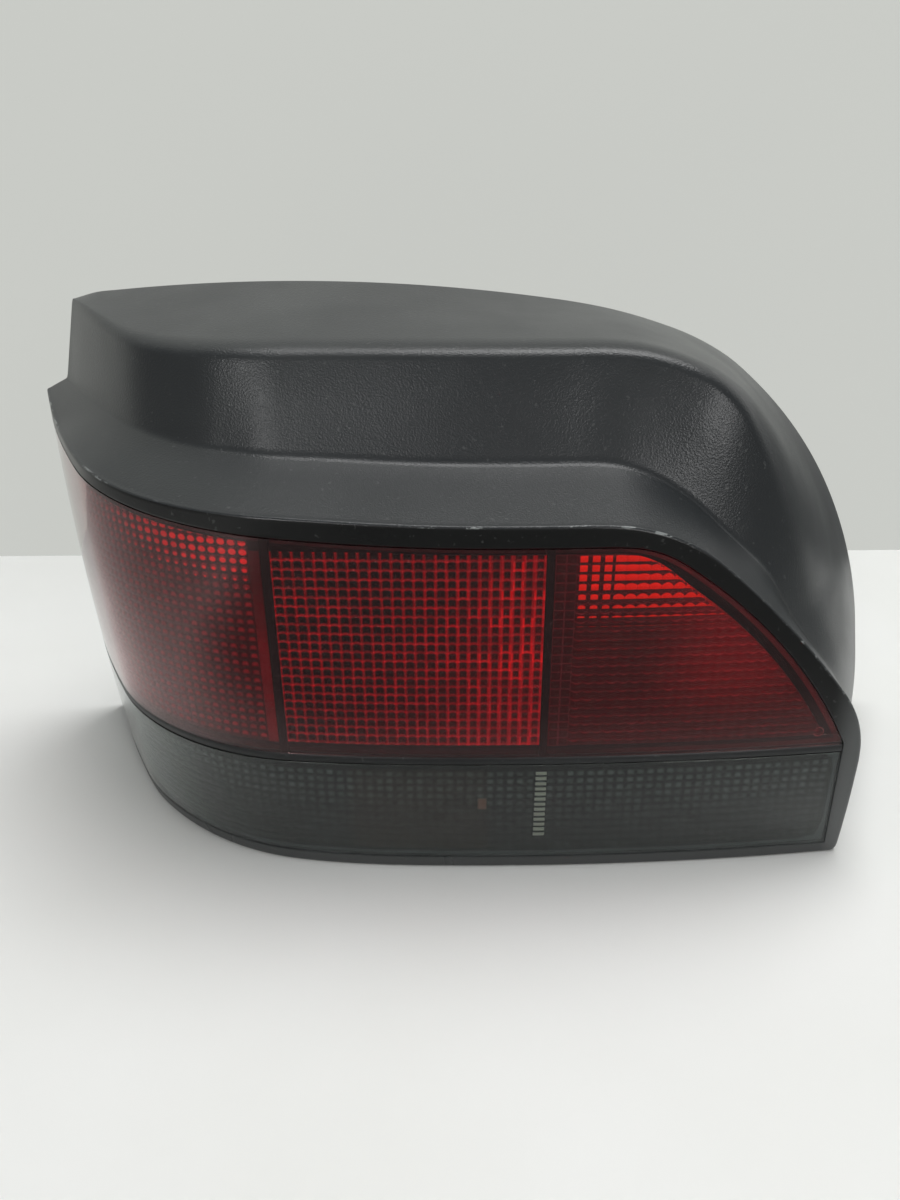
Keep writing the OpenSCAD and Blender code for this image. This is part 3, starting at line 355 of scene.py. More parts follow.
class Finish:  # one material and the node steps that its looks need; colours are as the eye reads them
    def __init__(self, name):
        self.mat = bpy.data.materials.new(name)
        self.mat.use_nodes = True
        self.tree = self.mat.node_tree
        self.shader = self.tree.nodes["Principled BSDF"]
        self.out = self.tree.nodes["Material Output"].inputs["Surface"]
        self.place = self.add("ShaderNodeTexCoord").outputs["Object"]
    def add(self, kind, **settings):
        node = self.tree.nodes.new(kind)
        for key, value in settings.items():
            setattr(node, key, value)
        return node
    def join(self, source, socket):
        if isinstance(source, bpy.types.NodeSocket):
            self.tree.links.new(source, socket)
        else:
            socket.default_value = tone(*source) if isinstance(source, tuple) else source
    def made(self, node, *inputs):  # joins the inputs in their order and gives the first output
        for value, socket in zip(inputs, node.inputs):
            self.join(value, socket)
        return node.outputs[0]
    def calc(self, op, *inputs):
        return self.made(self.add("ShaderNodeMath", operation=op), *inputs)
    def chain(self, op, value, *others):
        for other in others:
            value = self.calc(op, value, other)
        return value
    def times(self, *values):
        return self.chain("MULTIPLY", *values)
    def plus(self, *values):
        return self.chain("ADD", *values)
    def most(self, *values):
        return self.chain("MAXIMUM", *values)
    def less(self, a, b):
        return self.calc("SUBTRACT", a, b)
    def power(self, a, b):
        return self.calc("POWER", a, b)
    def parts(self, vector):  # x, y and z of a vector
        node = self.add("ShaderNodeSeparateXYZ")
        self.join(vector, node.inputs[0])
        return node.outputs[0], node.outputs[1], node.outputs[2]
    def fade(self, value, lo, hi, a=0.0, b=1.0, soft=True):
        node = self.add("ShaderNodeMapRange", interpolation_type="SMOOTHSTEP" if soft else "LINEAR")
        return self.made(node, value, lo, hi, a, b)
    def stretch(self, *share):
        node = self.add("ShaderNodeMapping")
        self.join(self.place, node.inputs["Vector"])
        node.inputs["Scale"].default_value = share
        return node.outputs[0]
    def noise(self, scale, detail=3.0, rough=0.55, place=None):
        node = self.add("ShaderNodeTexNoise")
        self.join(place or self.place, node.inputs["Vector"])
        for key, value in (("Scale", scale), ("Detail", detail), ("Roughness", rough)):
            node.inputs[key].default_value = value
        return node.outputs["Fac"]
    def cells(self, scale):
        node = self.add("ShaderNodeTexVoronoi", feature="SMOOTH_F1")
        self.join(self.place, node.inputs["Vector"])
        node.inputs["Scale"].default_value = scale
        return node.outputs["Distance"]
    def blend(self, fac, a, b):
        node = self.add("ShaderNodeMix", data_type="RGBA")
        for value, k in ((fac, 0), (a, 6), (b, 7)):
            self.join(value, node.inputs[k])
        return node.outputs[2]
    def bump(self, height, far):
        node = self.add("ShaderNodeBump")
        node.inputs["Strength"].default_value, node.inputs["Distance"].default_value = 1.0, far
        self.join(height, node.inputs["Height"])
        self.join(node.outputs[0], self.shader.inputs["Normal"])
    def given(self, name, kind="Fac"):
        return self.add("ShaderNodeAttribute", attribute_name=name).outputs[kind]
    def rays(self, kind):
        return self.add("ShaderNodeLightPath").outputs[kind]
    def either(self, fac, first, second):
        return self.made(self.add("ShaderNodeMixShader"), fac, first, second)
    def passLamps(self, tint):  # the lamps' light goes through, so clear plastic throws no dark shadow
        through = self.add("ShaderNodeBsdfTransparent")
        self.join(tint, through.inputs[0])
        lit = self.either(self.rays("Is Shadow Ray"), self.shader.outputs[0], through.outputs[0])
        self.join(lit, self.out)
    def set(self, **values):
        names = dict(colour="Base Color", rough="Roughness", metal="Metallic", ior="IOR",
                     clear="Transmission Weight", gloss="Specular IOR Level", glow="Emission Strength",
                     glowColour="Emission Color")
        for key, value in values.items():
            self.join(value, self.shader.inputs[names[key]])
        return self


# Small helpers for pieces
sameSpot = 2e-6  # metres; points nearer than this are one
def makePiece(name, points, faces, finishes, faceFinish=None, sharp=38, values=None, slot=None, stands=(),
              closed=False):
    mesh = bpy.data.meshes.new(name)
    mesh.from_pydata([onMiddle(p) for p in points], [], faces)
    for key, (kind, data) in (values or {}).items():
        layer = mesh.attributes.new(key, kind, "POINT")
        if kind == "FLOAT":
            layer.data.foreach_set("value", data)
        else:
            layer.data.foreach_set("vector", flat(data))
    for f in finishes:
        mesh.materials.append(f.mat)
    if faceFinish:
        mesh.polygons.foreach_set("material_index", faceFinish)
    work = bmesh.new()
    work.from_mesh(mesh)
    bmesh.ops.remove_doubles(work, verts=work.verts, dist=sameSpot)
    bmesh.ops.dissolve_degenerate(work, edges=work.edges, dist=sameSpot)
    if closed:
        bmesh.ops.recalc_face_normals(work, faces=work.faces)
    work.to_mesh(mesh)
    work.free()
    mesh.polygons.foreach_set("use_smooth", [True] * len(mesh.polygons))
    mesh.set_sharp_from_angle(angle=math.radians(sharp))
    piece = addObject(name, mesh)
    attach(piece, "root")
    if stands:
        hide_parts(*stands)
    return piece

def flat(lists):
    return [value for row in lists for value in row]

def bandFaces(rings, size, closed=True):
    faces = []
    for a in range(rings if closed else rings - 1):
        b = (a + 1) % rings
        for k in range(size):
            l = (k + 1) % size
            faces.append((a * size + k, a * size + l, b * size + l, b * size + k))
    return faces

def gridFaces(cols, rows, first=0, flip=False):
    faces = []
    for i in range(cols - 1):
        for j in range(rows - 1):
            p = first + i * rows + j
            f = (p, p + 1, p + rows + 1, p + rows)
            faces.append(f[::-1] if flip else f)
    return faces

def slabMesh(front, back):  # two equal grids of points, and the rim between them
    cols, rows = len(front), len(front[0])
    points = flat(front + back)
    s = cols * rows
    faces = gridFaces(cols, rows) + gridFaces(cols, rows, s, True)
    rim = ([i * rows for i in range(cols)] + [(cols - 1) * rows + j for j in range(1, rows)]
           + [i * rows + rows - 1 for i in range(cols - 2, -1, -1)] + [j for j in range(rows - 2, 0, -1)])
    for k, p in enumerate(rim):
        q = rim[(k + 1) % len(rim)]
        faces.append((p, q, q + s, p + s))
    return points, faces

def joined(meshes):  # several pairs of points and faces as one
    points, faces = [], []
    for p, f in meshes:
        faces += [tuple(v + len(points) for v in q) for q in f]
        points += p
    return points, faces

def softenEdges(piece, width, angle=50, steps=2):
    mod = piece.modifiers.new("softEdges", "BEVEL")
    mod.width, mod.segments = width / 1000, steps
    mod.limit_method, mod.angle_limit = "ANGLE", math.radians(angle)


# Hood and frame: one grained moulding, worn pale along its outer edge
hoodLook = dict(colour=(36, 39, 41), dusty=(46, 49, 50), rough=0.32, grain=1600.0, grainDeep=0.00008,
                wear=(128, 132, 131))
frameLook = dict(colour=(11, 12, 12), dusty=(16, 17, 17), rough=0.3, grain=1500.0, grainDeep=0.00003,
                 wear=(128, 132, 131))
# painted reflection: the grey that the frame's foot and right end are painted with
rimReflectionLook = dict(colour=(80, 82, 82), foot=(0.012, 0.004), right=(0.128, 0.142))  # where it sets in, in metres
innerLook = dict(colour=(46, 48, 50), dusty=(60, 62, 63), rough=0.55, grain=1300.0, grainDeep=0.00004)
def grainedPlastic(name, colour, dusty, rough, grain, grainDeep, wear=None):
    f = Finish(name)
    paint = f.blend(f.fade(f.noise(9, 4), 0.35, 0.75), colour, dusty)
    paint = f.blend(f.times(f.fade(f.noise(420, 2), 0.66, 0.74), 0.1), paint, (150, 152, 150))  # pale specks
    if wear:  # chips, in patches along the worn edge
        chips = f.fade(f.noise(330, 4, 0.7, f.stretch(0.3, 0.3, 1)), 0.56, 0.62)
        patches = f.fade(f.noise(30, 2), 0.4, 0.56)
        paint = f.blend(f.times(f.fade(f.given("edgeWear"), 0.55, 0.95), chips, patches), paint, wear)
    f.set(colour=paint, rough=f.fade(f.noise(22, 2), 0.3, 0.7, rough - 0.03, rough + 0.04), gloss=0.5)
    f.bump(f.plus(f.cells(grain), f.times(f.noise(grain * 1.7, 2), 0.5)), grainDeep)
    return f
def fineGrained(name, colour, dusty, rough=0.4):
    return grainedPlastic(name, colour, dusty, rough, 1500.0, 0.00002)
def paintedRimReflection(f):  # painted reflection: the frame is painted greyer along its foot and its right end, for the bright floor that these faces reflect
    x, y, z = f.parts(f.place)
    share = f.most(f.fade(z, *rimReflectionLook["foot"], 0.0, 0.6), f.fade(x, *rimReflectionLook["right"]))
    f.set(colour=f.blend(share, f.shader.inputs["Base Color"].links[0].from_socket, rimReflectionLook["colour"]))
hoodPlastic = grainedPlastic("hoodPlastic", **hoodLook)
framePlastic = grainedPlastic("framePlastic", **frameLook)
paintedRimReflection(framePlastic)
innerPlastic = grainedPlastic("innerPlastic", **innerLook)

seatD, gap = skin["seatD"], skin["lensGap"]
frameOuter = frameRing(0, 1.2)
ledgeCrease, upperCrease, backEdge, backInner = [hoodRing(n) for n in range(4)]
shell = []  # ring of points, wear on it, and the finish of the band that follows
outside, face, inside = 0, 1, 2
footRound, edgeRound, ledgeBend = 3.2, 1.2, 0.07
def layRing(points, wear=0.0, finish=outside, soft=footRound):
    shell.append((roundFoot(refined(points), soft), wear, finish))
def roundFoot(ring, radius, at=fineSteps * baseSteps):  # rounds the ring at its lower right corner
    c = ring[at]
    a, b = [c + (ring[k] - c).normalized() * radius for k in (at - 1, at + 1)]
    if radius:
        for k, t in zip(range(at - 2, at + 3), (0, 0.25, 0.5, 0.75, 1)):
            ring[k] = mix(mix(a, c, t), mix(c, b, t), t)
    return ring
# Lip round the lenses
for wide, deep, wear in ((0, 0.9, 0), (0, 0.45, 0), (0.12, 0.14, 0.1), (0.45, 0, 0.1), (0.9, 0, 0)):
    layRing(edgeRing(gap + wide, deep), wear, face, 0)
layRing(between(edgeRing(gap + 0.5, 0), frameRing(1.2, 0), 0.5), 0, face, 1.0)
layRing(frameRing(1.9, 0), 0, face, 1.8)
for a, worn in ((0, 0.3), (25, 1), (50, 1), (70, 0.7), (90, 0.2)):  # rounded front edge
    layRing(frameRing(edgeRound * (1 - sinD(a)), edgeRound * (1 - cosD(a))), worn, face if a < 25 else outside)
layRing(toward(frameOuter, ledgeCrease, 1.2))
for t in (0.33, 0.66):
    layRing(between(frameOuter, ledgeCrease, t))
def ledgeRing(t):
    return bendRing(frameOuter, ledgeCrease, upperCrease, t, lambda k: ledgeBend)
def creaseRing(t):
    return bendRing(ledgeCrease, upperCrease, backEdge, t)
for t in (0, 0.25, 0.5, 0.75, 1):
    layRing(ledgeRing(t))
layRing(between(ledgeRing(1), creaseRing(0), 0.5))
for t in range(9):
    layRing(creaseRing(t / 8))
for t in (0.33, 0.66):
    layRing(between(creaseRing(1), backEdge, t))
for far in (0.9, 0.35):
    layRing(toward(backEdge, creaseRing(1), far))
layRing(toward(backEdge, backInner, 0.35))
layRing(toward(backInner, backEdge, 0.2), 0, inside, 1.0)
for t in (0, 0.5, 1):
    layRing(bendRing(backInner, hoodRing(4), hoodRing(5), t), 0, inside, 0)
for points in (hoodRing(5), frameRing(2.2, 4), edgeRing(1.7, 6), backRing(1.7), backRing(-0.5),
               edgeRing(-0.5, 6), edgeRing(-3, 6), edgeRing(-3, seatD), edgeRing(gap, seatD)):
    layRing(points, 0, inside, 0)
size = len(shell[0][0])
points, wears, which = zip(*[(p, worn, finish) for ring, worn, finish in shell for p in ring])
housing = makePiece("hoodAndFrame", points, bandFaces(len(shell), size),
                    [hoodPlastic, framePlastic, innerPlastic], which, 42, {"edgeWear": ("FLOAT", wears)},
                    "shell_plastic", ["housing"], True)
print("hood and frame:", len(housing.data.polygons), "faces")


# Clear skins of both lenses
clearLook = dict(red=dict(tint=(250, 205, 205), rough=0.035, gloss=0.16), ior=1.49, thick=1.0, edge=0.2,
                 smoke=dict(tint=(222, 228, 226), rough=0.055, gloss=0.15))
def clearPlastic(name, tint, rough, gloss):
    f = Finish(name)
    f.set(colour=tint, rough=f.fade(f.noise(140, 4), 0.35, 0.75, rough, rough + 0.05), clear=1.0, gloss=gloss,
          ior=clearLook["ior"])
    f.passLamps(tint)
    return f
redSkinFinish = clearPlastic("clearRed", **clearLook["red"])
smokeSkinFinish = clearPlastic("clearSmoke", **clearLook["smoke"])

redLow, smokeTop = skin["stripZ"] + skin["stripH"] + 0.1, skin["stripZ"] - 0.1
def lensColumns(rows, d):  # the red lens's upright lines of points, from the side to the falling corner
    cols = []
    for j in [topSteps - k / 2 for k in range(2 * topSteps + 1)]:
        u = uTop(j, lensStart[0])
        cols.append([onSkin(lensU(u, z, 0), z, d)
                     for z in [mix(redLow, topZ(u), k / rows) for k in range(rows + 1)]])
    for t in [k / 48 for k in range(47, 0, -1)] + [0.01]:
        p = lensFall(t)
        cols.append([onFront(p[0], mix(redLow, p[1], k / rows), d) for k in range(rows + 1)])
    return cols
def rightX(z):
    return mix(skin["lensX"], lensCor[0], (z - lensBase) / (lensCor[1] - lensBase))
halfSteps = [k / 2 for k in range(2 * baseSteps + 1)]
def lowEdge(i, z, d):
    return onFront(rightX(z), z, d) if i == baseSteps else onSkin(lensU(uBase(i), z, 0), z, d)
def smokeColumns(rows, d):
    return [[lowEdge(i, mix(lensBase, smokeTop, k / rows), d) for k in range(rows + 1)] for i in halfSteps]
for name, columns, rows, finish, node in (("redLensSkin", lensColumns, 10, redSkinFinish, "red_lens"),
                                          ("smokedLensSkin", smokeColumns, 6, smokeSkinFinish, "smoked_lens")):
    points, faces = slabMesh(columns(rows, 0), columns(rows, clearLook["thick"]))
    softenEdges(makePiece(name, points, faces, [finish], slot=node, stands=[node], closed=True),
                clearLook["edge"])
print("lens skins done")


# Optics behind the skins: moulded cells in relief, and the plain sheet behind them
redOptics = dict(reflex=dict(u=(-13.35, 81.65), z=(57.6, 135.4), cell=(3.8, 3.54), deep=0.9),
                 right=dict(u=(-130.3, -24.1), z=(57.0, 134.5), cell=(4.25, 3.5), deep=0.55),
                 rightStrip=dict(u=(-24.1, -16.5), z=(57.0, 134.5), cell=(3.8, 3.5), deep=0.3),
                 leftStrip=dict(u=(85.4, 89.3), z=(57.0, 135.4), cell=(3.9, 3.45), deep=0.2),
                 left=dict(u=(89.3, 249.2), z=(57.0, 153.5), cell=(3.9, 3.45), deep=0.5))
opticsLook = dict(depth=1.2, backDepth=2.4, topBand=2.3, fallBand=5.2, sideGap=9.5)

fallLine = []
for k in range(61):  # the dark band widens along the falling edge
    p, w = lensFall(k / 60), mix(opticsLook["fallBand"], opticsLook["topBand"], ease(0.72, 1, k / 60))
    fallLine.append((p[0] - w * sinD(p[2]), p[1] - w * cosD(p[2])))
def cellTop(u, z):  # highest place for a cell there, inside the border
    x = plan(u, 0)[0] if u < uFront else -100
    if x < 57:
        return topZ(u) - opticsLook["topBand"]
    for (xa, za), (xb, zb) in zip(fallLine, fallLine[1:]):
        if xb <= x <= xa:
            return min(mix(za, zb, (xa - x) / max(xa - xb, 1e-6)), lensTop - opticsLook["topBand"])
    return 0 if x > fallLine[0][0] else lensTop - opticsLook["topBand"]

def pyramid(fx, fz):
    return 1 - max(abs(2 * fx - 1), abs(2 * fz - 1))
def pillow(fx, fz):
    return 0.7 * (2 * fz - 1) ** 2 + 0.3 * (2 * fx - 1) ** 2
def cellPatch(spec, form, sub, cap):
    (ua, ub), (za, zb), (cw, ch) = spec["u"], spec["z"], spec["cell"]
    nu, nz = round((ub - ua) / cw), round((zb - za) / ch)
    points, cell, spot = [], [], []
    for i in range(nu * sub + 1):
        u = ua + (ub - ua) * i / (nu * sub)
        for j in range(nz * sub + 1):
            z = zb - (zb - za) * j / (nz * sub)
            zc = max(min(z, cap(u, z)), za)
            d = opticsLook["depth"] + spec["deep"] * form((i % sub) / sub, (j % sub) / sub)
            points.append(onSkin(min(u, uPlane(zc, 0) - opticsLook["sideGap"]), zc, d))
            cell.append((i / sub, j / sub, 0.0))
            spot.append((u, zc, 0.0))
    return points, gridFaces(nu * sub + 1, nz * sub + 1), cell, spot

def patchPiece(name, patches, slot, sub=4, cap=cellTop):  # each patch: place, relief and finish of its cells
    parts = [cellPatch(spec, form, sub, cap) for spec, form, finish in patches]
    points, faces = joined([part[:2] for part in parts])
    cell, spot = [flat(part[n] for part in parts) for n in (2, 3)]
    which = [k for k, part in enumerate(parts) for q in part[1]]
    return makePiece(name, points, faces, [patch[2] for patch in patches], which, 20,
                     {"cellAt": ("FLOAT_VECTOR", cell), "spotAt": ("FLOAT_VECTOR", spot)}, slot)

def cellFinish(name, paint, rough=0.3):
    f = Finish(name)
    (across, down, none), (u, z, none) = [f.parts(f.given(key, "Vector")) for key in ("cellAt", "spotAt")]
    cell, dice = f.add("ShaderNodeCombineXYZ"), f.add("ShaderNodeTexWhiteNoise", noise_dimensions="3D")
    f.join(f.made(cell, f.calc("FLOOR", across), f.calc("FLOOR", down)), dice.inputs["Vector"])
    colour = paint(f, f.calc("FRACT", across), f.calc("FRACT", down), u, z, dice.outputs["Value"])
    f.set(colour=colour, rough=rough, gloss=0.12)
    return f
def offMid(f, v):
    return f.times(f.calc("ABSOLUTE", f.less(v, 0.5)), 2.0)  # 0 at a cell's middle, 1 at its rim
def sagged(f, fx, fz, far):  # rows that hang in little arcs, one to a cell
    return f.calc("FRACT", f.plus(fz, f.times(f.less(1.0, f.power(offMid(f, fx), 2.0)), far)))

# Each paint gets the place in the cell (fx, fz), the place on the lens (u, z) and the cell's chance value
# painted light: the core and line tones go dark to bright with the painted light; paintedGlint is a painted
# glint
reflexLook = dict(core=((14, 0, 1), (78, 8, 15)), line=((166, 26, 44), (182, 13, 33)), paintedGlint=(224, 20, 32))
def reflexRed(f, fx, fz, u, z, dice):
    ax, az = offMid(f, fx), offMid(f, sagged(f, fx, fz, 0.16))
    lit = f.fade(f.plus(f.times(u, -0.008), f.times(z, -0.006)), -1.15, 0.15)  # painted light: brighter toward the lower right
    broad = f.plus(ax, f.fade(u, 30, -5, 0.0, 0.14))  # upright lines, painted broader and stronger to the right as painted light
    upright = f.times(f.fade(broad, 0.56, 0.92), f.fade(u, 55, -8, 0.55, 0.85))
    level = f.times(f.fade(az, 0.64, 0.92), 0.5)
    knot = f.fade(f.plus(ax, az), 1.22, 1.72)  # brightest where the lines cross
    rim = f.times(f.most(upright, level, knot), f.plus(0.42, f.times(lit, 0.3), f.times(dice, 0.5)))
    line = f.blend(f.fade(z, 56, 100), *reflexLook["line"])
    # painted glints: the lines of some cells at the right are painted brighter
    paintedGlint = f.times(f.fade(dice, 0.66, 0.92), f.fade(u, 28, -2), f.fade(z, 70, 95, 0.25, 1.0))
    return f.blend(rim, f.blend(lit, *reflexLook["core"]), f.blend(paintedGlint, line, reflexLook["paintedGlint"]))

# painted light: the paintedLight tones are the upper parts of the cells painted bright, as if lit from above
rightLook = dict(paintedLight=((160, 24, 30), (226, 42, 22)), dull=((52, 3, 8), (96, 9, 19)),
                 line=((112, 36, 44), (150, 44, 52)))
def rightRed(f, fx, fz, u, z, dice):
    ax = offMid(f, fx)
    bow = f.times(f.power(ax, 2.0), f.most(f.fade(z, 108, 130, 0.9, 0.1), f.fade(u, -42, -60, 0.0, 0.6)))
    height = f.times(f.fade(z, 106, 122, 0.0, 0.72, False), f.less(1.0, bow))  # painted light: share of a row that is painted lit, in the upper rows only
    up = f.less(0.86, fz)  # from the row's foot upward
    side = f.fade(f.less(f.fade(u, -38, -36, 1.0, 0.62), ax), -0.03, 0.05)  # gaps between the first columns
    lit = f.times(f.fade(f.less(height, up), -0.03, 0.05), f.fade(up, -0.02, 0.02), side)
    away = f.fade(f.plus(f.times(u, 0.5), z), 62, 88)  # fades toward the falling edge
    thread = f.fade(f.calc("ABSOLUTE", f.less(sagged(f, fx, fz, -0.2), 0.2)), 0.15, 0.03)
    thread = f.times(thread, f.plus(0.45, f.times(dice, 0.5)), f.less(1.0, f.times(ax, 0.7)))
    # painted glow: the dull cells and their threads are painted brighter across the middle
    glow = f.times(f.fade(u, -45, -82), f.fade(u, -118, -88, 0.4, 1.0), f.fade(z, 62, 90))
    dull = f.blend(thread, f.blend(glow, *rightLook["dull"]), f.blend(glow, *rightLook["line"]))
    return f.blend(lit, dull, f.blend(away, *rightLook["paintedLight"]))

# painted light: the paintedLight tones are lit blobs painted on the upper rows of cells
leftLook = dict(paintedLight=((160, 32, 40), (222, 28, 32)), dull=((46, 3, 8), (122, 24, 36)), far=(66, 10, 18))
def leftRed(f, fx, fz, u, z, dice):
    ax, az = offMid(f, fx), offMid(f, fz)
    # painted light: cells above a height of about 117 to 124 are painted as bright blobs, fading out toward
    # the wrap
    low = f.fade(u, 87, 150, 117, 124, False)
    share = f.times(f.fade(z, low, f.plus(low, 15.0), 0.0, 0.74, False), f.fade(u, 190, 120))
    fromMid = f.power(f.plus(f.power(ax, 2.0), f.power(f.times(az, 1.15), 2.0)), 0.5)
    blob = f.times(f.fade(f.less(share, fromMid), -0.08, 0.1), f.plus(0.7, f.times(dice, 0.4)))
    weave = f.times(f.fade(ax, 0.9, 0.3), f.fade(offMid(f, sagged(f, fx, fz, 0.25)), 0.62, 0.2))
    dull = f.blend(f.times(weave, f.plus(0.5, f.times(dice, 0.5))), *leftLook["dull"])
    dull = f.blend(f.fade(u, 225, 150), leftLook["far"], dull)
    return f.blend(blob, dull, f.blend(f.fade(u, 165, 100), *leftLook["paintedLight"]))

sideStrips = dict(plain=((62, 5, 12), (98, 12, 24)), dull=((44, 6, 10), (84, 28, 36)), rough=0.35)
def plainRed(f, fx, fz, u, z, dice):
    share = f.times(f.fade(z, 125, 95), f.fade(f.noise(90, 2), 0.3, 0.7, 0.5, 1.0))
    return f.blend(share, *sideStrips["plain"])
def dullRed(f, fx, fz, u, z, dice):
    line = f.most(f.fade(offMid(f, fx), 0.7, 0.95), f.fade(offMid(f, fz), 0.72, 0.95))
    return f.blend(f.times(line, 0.8), *sideStrips["dull"])
redCells = patchPiece("redLensOptics", [
    (redOptics["reflex"], pyramid, cellFinish("reflexPrisms", reflexRed)),
    (redOptics["right"], pillow, cellFinish("rightCells", rightRed)),
    (redOptics["rightStrip"], pillow, cellFinish("dullCells", dullRed, sideStrips["rough"])),
    (redOptics["left"], pillow, cellFinish("leftCells", leftRed)),
    (redOptics["leftStrip"], pillow, cellFinish("plainRed", plainRed, sideStrips["rough"]))], "red_lens")

borderLook = dict(red=dict(sheet=(12, 2, 4), flange=(70, 24, 29), band=2.0, faint=(50, 80)),
                  smoked=dict(sheet=(8, 9, 9), flange=(52, 56, 56), band=1.3))
def backingFinish(name, sheet, flange, band, faint=None):  # pale flange round a dark sheet, faint at the left
    f = Finish(name)
    x, z, inward = f.parts(f.given("spotAt", "Vector"))
    share = f.fade(inward, band + 0.12, band - 0.12)
    if faint:
        share = f.times(share, f.times(f.fade(x, *faint, 0.3, 1.0), f.fade(z, 56.5, 60, 0.5, 1.0)))
    mottled = f.blend(f.noise(60), flange, tuple(c * 1.25 for c in flange))
    f.set(colour=f.blend(share, sheet, mottled), rough=0.32, gloss=0.15)
    return f
def borderOf(cols):  # distance of each point in from the rim of its grid
    foot, top = [c[0] for c in cols], [c[-1] for c in cols]
    segs = [*zip(foot, foot[1:]), *zip(top, top[1:]), (foot[0], top[0]), (foot[-1], top[-1])]
    def far(p):
        best = 1e9
        for a, b in segs:
            w = b - a
            t = clip01((p - a).dot(w) / max(w.dot(w), 1e-9))
            best = min(best, (p - a - w * t).length)
        return best
    return [far(p) for c in cols for p in c]
def backSheet(name, columns, finish, slot, rows):
    cols = columns(rows, opticsLook["backDepth"])
    points = flat(cols)
    spots = [(p[0], p[2], b) for p, b in zip(points, borderOf(cols))]
    makePiece(name, points, gridFaces(len(cols), rows + 1), [finish], None, 40,
              {"spotAt": ("FLOAT_VECTOR", spots)}, slot)
backSheet("redLensBacking", lensColumns, backingFinish("redBorder", **borderLook["red"]), "red_lens", 40)

def stationOf(x):  # the u at which the skin is at x, on the front or on the rounded corner
    if uOfX(x) < uFront:
        return uOfX(x)
    lo, hi = uFront, uCorner
    for k in range(30):
        m = (lo + hi) / 2
        lo, hi = (m, hi) if plan(m, 0)[0] > x else (lo, m)
    return lo
bars = dict(left=(-65.3, -62.15), right=(33.2, 36.0), short=0.6, colour=(14, 12, 13), dusty=(20, 17, 18))
# Side, step and depth of each point round a bar
barProfile = ((0, -0.15, 2.4), (0, 0, 1.3), (0, 0.2, 1.15), (1, -0.2, 1.15), (1, 0, 1.3), (1, 0.15, 2.4))
def uprightBar(name, sides, z0, z1, finish, rows=24, slot="black_plastic"):
    points, size = [], len(barProfile)
    for j in range(rows + 1):
        z = mix(z0, z1, j / rows)
        for side, step, d in barProfile:
            points.append(onSkin(stationOf(sides[side] + step), z, d))
    makePiece(name, points, gridFaces(rows + 1, size), [finish], None, 30, None, slot)
barBlack = fineGrained("barBlack", bars["colour"], bars["dusty"], 0.5)
barBlack.set(gloss=0.12)
uprightBar("leftDividingBar", bars["left"], redLow, topZ(84) - bars["short"], barBlack)
uprightBar("rightDividingBar", bars["right"], redLow, lensTop - bars["short"], barBlack)

# Small moulded ring near the falling corner
ringMark = dict(x=140.25, z=58.4, radius=1.9, wire=0.22, d=1.5, colour=(120, 56, 62), dusty=(104, 46, 52))
def smallRing(name, x, z, radius, wire, d, colour, dusty, around=28, about=6):
    points = []
    for k in range(around):
        a = 360 * k / around
        for m in range(about):
            b = 360 * m / about
            r = radius + wire * cosD(b)
            points.append(onFront(x + r * cosD(a), z + r * sinD(a), d + wire * sinD(b)))
    finish = fineGrained("ringRed", colour, dusty)
    makePiece(name, points, bandFaces(around, about), [finish], None, 60, None, "red_lens")
smallRing("ringMark", **ringMark)
print("red optics done:", len(redCells.data.polygons), "faces")


# Behind the smoked lens: faint cells, the pale front edge of the partition, a glimpse of the amber filter
smokeOptics = dict(u=(-128.0, 249.4), z=(8.6, 46.0), cell=(3.85, 3.4), deep=0.45)
# painted reflection: side is the paler tone painted over the wrapped left part
smokeLook = dict(cells=((4, 5, 5), (76, 80, 78)), brown=(44, 30, 18), side=(126, 130, 127), rough=0.32)
def smokeGrey(f, fx, fz, u, z, dice):
    weave = f.times(f.fade(offMid(f, fx), 0.8, 0.3), f.fade(offMid(f, fz), 0.75, 0.3))
    strong = f.times(f.fade(z, 22, 42, 0.3, 1.0), f.plus(0.45, f.times(dice, 0.6)))
    colour = f.blend(f.times(weave, strong), *smokeLook["cells"])
    colour = f.blend(f.times(f.fade(u, 3, 8), f.fade(u, 62, 56), 0.4), colour, smokeLook["brown"])
    # painted reflection: the wrapped left part is painted paler, for the bright floor it reflects
    return f.blend(f.fade(u, 112, 200, 0.0, 0.92), colour, smokeLook["side"])
def smokeCap(u, z):
    return smokeTop - 1.6
smokeFinish = cellFinish("smokedCells", smokeGrey, smokeLook["rough"])
smokeCells = patchPiece("smokedLensOptics", [(smokeOptics, pillow, smokeFinish)], "smoked_lens", 3, smokeCap)
backSheet("smokedLensBacking", smokeColumns, backingFinish("smokedBorder", **borderLook["smoked"]),
          "smoked_lens", 16)

def plateAt(x0, x1, z0, z1, d0=1.08, d1=2.4):  # small raised plate with a sloped rim
    points = [onFront(x, z, d) for d, o in ((d1, -0.12), (d0 + 0.12, 0), (d0, 0.14)) for x, z in
              ((x0 + o, z0 + o), (x1 - o, z0 + o), (x1 - o, z1 - o), (x0 + o, z1 - o))]
    return points, bandFaces(3, 4, False) + [(8, 9, 10, 11)]
def platesPiece(name, plates, colour, dusty, slot):
    finish = fineGrained(name, colour, dusty)
    makePiece(name, *joined([plateAt(*p) for p in plates]), [finish], None, 30, None, slot)
ladder = dict(x=(32.1, 36.7), z=(14.9, 46.3), rungs=13, thick=1.3, colour=(168, 166, 152),
              dusty=(140, 138, 126))
step = (ladder["z"][1] - ladder["z"][0]) / ladder["rungs"]
rungFoot = [ladder["z"][0] + k * step for k in range(ladder["rungs"])]
